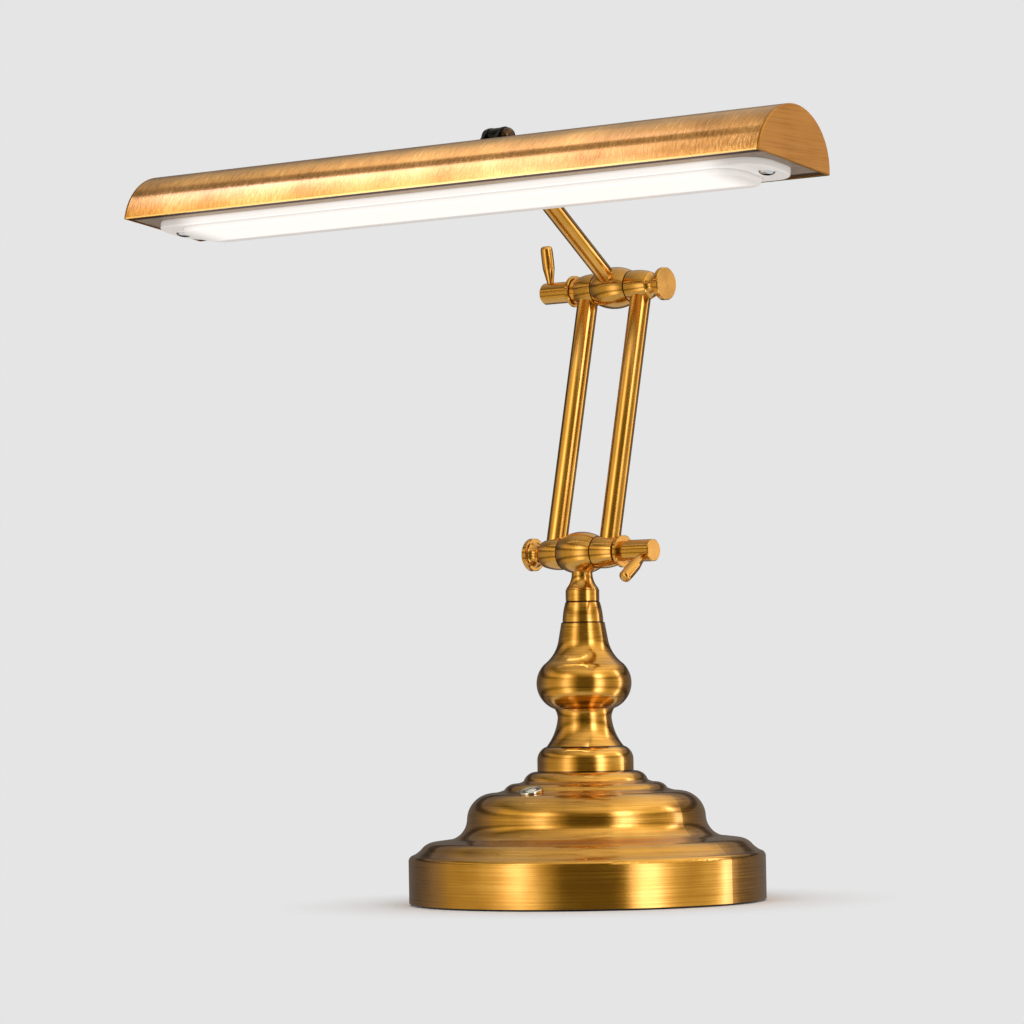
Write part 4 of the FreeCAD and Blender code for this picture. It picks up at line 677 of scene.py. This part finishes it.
def makeFloor(values):
    made, tree = newMaterial("painted floor")
    spot = addNode(tree, "ShaderNodeTexCoord")
    reach = addNode(tree, "ShaderNodeVectorMath", links={0: spot.outputs["Object"]}, operation="LENGTH")
    away = addNode(tree, "ShaderNodeMapRange", {"From Min": values["shadow"][0],
                                                "From Max": values["shadow"][1]},
                   {"Value": reach.outputs["Value"]}, interpolation_type="SMOOTHSTEP")
    seen = seenDirectly(tree)
    share = addNode(tree, "ShaderNodeMath", links={0: away.outputs[0], 1: seen.outputs[0]},
                    operation="MULTIPLY")
    paint = addNode(tree, "ShaderNodeBsdfDiffuse", {"Color": linear(values["floor"])})
    glow = addNode(tree, "ShaderNodeEmission", {"Color": linear(values["grey"]), "Strength": 1.0})
    mix = addNode(tree, "ShaderNodeMixShader", links={
        0: share.outputs[0], 1: paint.outputs[0], 2: glow.outputs[0]})
    addNode(tree, "ShaderNodeOutputMaterial", links={"Surface": mix.outputs[0]})
    side = values["floorSide"]
    corners = [(-side, -side, 0), (side, -side, 0), (side, side, 0), (-side, side, 0)]
    mesh = bpy.data.meshes.new("floor")
    mesh.from_pydata(corners, [], [(0, 1, 2, 3)])
    mesh.materials.append(made)
    floor = bpy.data.objects.new("floor", mesh)
    floor.location.z = -values["floorDrop"]
    floor.visible_glossy = False
    bpy.context.scene.collection.objects.link(floor)


# Soft boxes, placed by degrees to the right of the camera and above the horizon; sizes in metres
softBoxes = {
    "lampLeft": {"turn": -43, "rise": 40, "distance": 1.6, "size": (0.85, 0.85), "radiance": 1.2},
    "lampRight": {"turn": 43, "rise": 40, "distance": 1.6, "size": (0.85, 0.85), "radiance": 0.9},
}
aimPoint = Vector((0.0, 0.0, 0.17))
# A thin tube overhead, which the clear coat of the base and stem shows as a fine bright line
overheadTube = {"place": (-0.12, -0.20, 1.30), "size": (0.95, 0.012), "radiance": 40.0}


def lightOnly(source, names):
    group = bpy.data.collections.new(source.name)
    for name in names:
        group.objects.link(nodes[name])
    source.light_linking.receiver_collection = group


def makeLamp(name, place, aim, size, radiance):
    data = bpy.data.lights.new(name, "AREA")
    data.shape = "RECTANGLE"
    data.size = size[0]
    data.size_y = size[1]
    data.energy = math.pi * size[0] * size[1] * radiance
    lamp = bpy.data.objects.new(name, data)
    lamp.location = place
    lamp.rotation_euler = aim.to_track_quat("-Z", "Y").to_euler()
    bpy.context.scene.collection.objects.link(lamp)
    return lamp


def makeLights(boxes, tube):
    for name, box in boxes.items():
        azimuth = math.radians(camera["azimuth"] + box["turn"])
        rise = math.radians(box["rise"])
        away = Vector((math.sin(azimuth) * math.cos(rise), -math.cos(azimuth) * math.cos(rise),
                       math.sin(rise)))
        place = aimPoint + box["distance"] * away
        lamp = makeLamp(name, place, aimPoint - place, box["size"], box["radiance"])
        lamp.visible_glossy = False
    lamp = makeLamp("tube", tube["place"], Vector((0, 0, -1)), tube["size"], tube["radiance"])
    lightOnly(lamp, finishes[spunBrass] + finishes[turnedStem])


# A round wall, lighter and darker all round and in courses, with a plainer upper part
wall = {
    "radius": 2.0,           # m, as are the heights
    "low": -1.4,
    "high": 1.9,
    "levels": [              # degrees to the right of the camera, and level
        (-180, 0.13), (-139, 0.13), (-124, 0.21), (-111, 0.38), (-100, 0.60), (-74, 0.70),
        (-66, 0.88), (-58, 1.25), (-51, 2.0), (-44, 2.3), (-37, 1.5), (-30, 0.82), (-23, 0.44),
        (-17, 0.18), (17, 0.18), (23, 0.35), (28, 2.0), (34, 3.4), (42, 3.1), (49, 1.6), (56, 0.95),
        (66, 0.70), (75, 0.72), (87, 0.95), (92, 1.5), (95, 2.8), (98.5, 3.0), (102.5, 1.4),
        (109, 0.28), (122, 0.20), (180, 0.16),
    ],
    "plainFrom": 100,        # degrees from the camera, beyond which its colour is plain
    "courses": [             # height and share of the level; the knuckles show them as bands
        (-1.4, 1.2), (-0.75, 1.2), (-0.55, 0.35), (-0.38, 0.35), (-0.24, 1.0), (0.48, 1.0),
        (0.60, 0.35), (0.80, 0.35), (0.92, 1.5), (1.9, 1.5),
    ],
    "upper": [(0.0, 1.3), (1.0, 0.12)],  # share of the way from right to left, and level
    "fade": (1.1, 1.8),      # heights between which the upper part takes over
    "peak": 16.0,            # ramp colours are levels divided by this
    "steps": 72,
}
# Cards overhead, and to the left for the shade; each corner is x, y, z in metres and its level
cards = {
    "top": [(-2.0, -2.0, 1.9, 0.05), (2.0, -2.0, 1.9, 1.6), (2.0, 2.0, 1.9, 1.7),
            (-2.0, 2.0, 1.9, 0.45)],
    "shadeBand": [(-0.938, -0.85, 0.80, 0.9), (-0.571, -0.93, 0.80, 3.8),
                  (-0.572, -0.497, 1.194, 2.4), (-0.937, -0.315, 1.181, 5.7)],
    "shadeTop": [(-0.949, -0.02, 1.20, 0.2), (-0.56, -0.24, 1.30, 3.0),
                 (-0.563, 0.478, 1.113, 0.2), (-0.922, 0.501, 1.014, 0.1)],
}
cardSteps = 12


# Colours of the reflected lights at this level; the warm one gets paler where it is strong
def warmColour(level):
    return level, level * (0.81 + 0.05 * level), level * (0.25 + 0.3 * level)


def plainColour(level):
    return level, level * 0.87, level * 0.76


def ceilingColour(level):
    return level, level * 0.92, level * 0.76


def onlyReflected(card):
    for way in ("camera", "diffuse", "shadow", "transmission"):
        setattr(card, "visible_" + way, False)
    bpy.context.scene.collection.objects.link(card)


def makeWall(values):
    made, tree = newMaterial("wall")
    low = values["low"]
    high = values["high"]
    peak = values["peak"]
    around = []
    for turn, level in values["levels"]:
        colour = plainColour(level) if abs(turn) > values["plainFrom"] else warmColour(level)
        around.append(((turn + 180) / 360, (*[part / peak for part in colour], 1)))
    courses = [((height - low) / (high - low), (level, level, level, 1))
               for height, level in values["courses"]]
    overhead = [(place, (*[part / peak for part in warmColour(level)], 1))
                for place, level in values["upper"]]
    spot = addNode(tree, "ShaderNodeTexCoord")
    parts = addNode(tree, "ShaderNodeSeparateXYZ", links={0: spot.outputs["Object"]})
    angle = addNode(tree, "ShaderNodeMath", links={0: parts.outputs[0], 1: parts.outputs[1]},
                    operation="ARCTAN2")
    turned = addNode(tree, "ShaderNodeMath", {1: -1 / (2 * math.pi), 2: 0.5}, {0: angle.outputs[0]},
                     operation="MULTIPLY_ADD")
    ring = addNode(tree, "ShaderNodeValToRGB", links={"Fac": turned.outputs[0]}, stops=around,
                   ease=False)
    risen = addNode(tree, "ShaderNodeMapRange", {"From Min": low, "From Max": high},
                    {"Value": parts.outputs[2]})
    course = addNode(tree, "ShaderNodeValToRGB", links={"Fac": risen.outputs[0]}, stops=courses)
    banded = addNode(tree, "ShaderNodeMix", {0: 1.0}, {
        6: ring.outputs["Color"], 7: course.outputs["Color"]}, data_type="RGBA", blend_type="MULTIPLY")
    fade = addNode(tree, "ShaderNodeMapRange", {"From Min": values["fade"][0],
                                                "From Max": values["fade"][1]},
                   {"Value": parts.outputs[2]}, interpolation_type="SMOOTHSTEP")
    aside = addNode(tree, "ShaderNodeMapRange", {"From Min": -values["radius"],
                                                 "From Max": values["radius"]},
                    {"Value": parts.outputs[0]})
    upper = addNode(tree, "ShaderNodeValToRGB", links={"Fac": aside.outputs[0]}, stops=overhead,
                    ease=False)
    shown = addNode(tree, "ShaderNodeMix", links={
        0: fade.outputs[0], 6: banded.outputs[2], 7: upper.outputs["Color"]}, data_type="RGBA")
    glow = addNode(tree, "ShaderNodeEmission", {"Strength": peak}, {"Color": shown.outputs[2]})
    addNode(tree, "ShaderNodeOutputMaterial", links={"Surface": glow.outputs[0]})
    made.cycles.emission_sampling = "NONE"
    steps = values["steps"]
    turns = [2 * math.pi * i / steps for i in range(steps)]
    corners = [(values["radius"] * math.sin(turn), values["radius"] * math.cos(turn), height)
               for height in (low, high) for turn in turns]
    faces = [(i, (i + 1) % steps, (i + 1) % steps + steps, i + steps) for i in range(steps)]
    mesh = bpy.data.meshes.new("wall")
    mesh.from_pydata(corners, [], faces)
    mesh.materials.append(made)
    standing = bpy.data.objects.new("wall", mesh)
    standing.rotation_euler.z = math.radians(camera["azimuth"] + 180)
    onlyReflected(standing)


def cardMaterial(name, seeThrough):
    made, tree = newMaterial(name)
    level = addNode(tree, "ShaderNodeAttribute", attribute_name="level")
    shown = addNode(tree, "ShaderNodeEmission", {"Strength": 1.0}, {"Color": level.outputs["Color"]})
    if seeThrough:
        clear = addNode(tree, "ShaderNodeBsdfTransparent")
        shown = addNode(tree, "ShaderNodeAddShader", links={0: shown.outputs[0], 1: clear.outputs[0]})
    addNode(tree, "ShaderNodeOutputMaterial", links={"Surface": shown.outputs[0]})
    made.cycles.emission_sampling = "NONE"
    return made


def makeCard(name, corners, finish, colourOf):
    across = cardSteps + 1
    shares = [(i / cardSteps, j / cardSteps) for j in range(across) for i in range(across)]
    points = [[(1 - u) * (1 - v) * a + u * (1 - v) * b + u * v * c + (1 - u) * v * d
               for a, b, c, d in zip(*corners)] for u, v in shares]
    starts = [j * across + i for j in range(cardSteps) for i in range(cardSteps)]
    faces = [(n, n + 1, n + across + 1, n + across) for n in starts]
    colours = []
    for point in points:
        colours += [*colourOf(point[3]), 1.0]
    mesh = bpy.data.meshes.new(name)
    mesh.from_pydata([point[:3] for point in points], [], faces)
    mesh.attributes.new("level", "FLOAT_COLOR", "POINT").data.foreach_set("color", colours)
    mesh.materials.append(finish)
    card = bpy.data.objects.new(name, mesh)
    onlyReflected(card)
    return card


# The top card hides the world behind it; the others add to what lies behind, on the shade alone
def makeCards(values):
    makeCard("top", values["top"], cardMaterial("card", False), ceilingColour)
    clear = cardMaterial("clear card", True)
    for name in ("shadeBand", "shadeTop"):
        lightOnly(makeCard(name, values[name], clear, warmColour), finishes[shadeBrass])


makeCamera(camera)
makeWorld(studio)
makeFloor(studio)
makeLights(softBoxes, overheadTube)
makeWall(wall)
makeCards(cards)
bpy.context.scene.view_settings.view_transform = "Standard"
print("studio made")
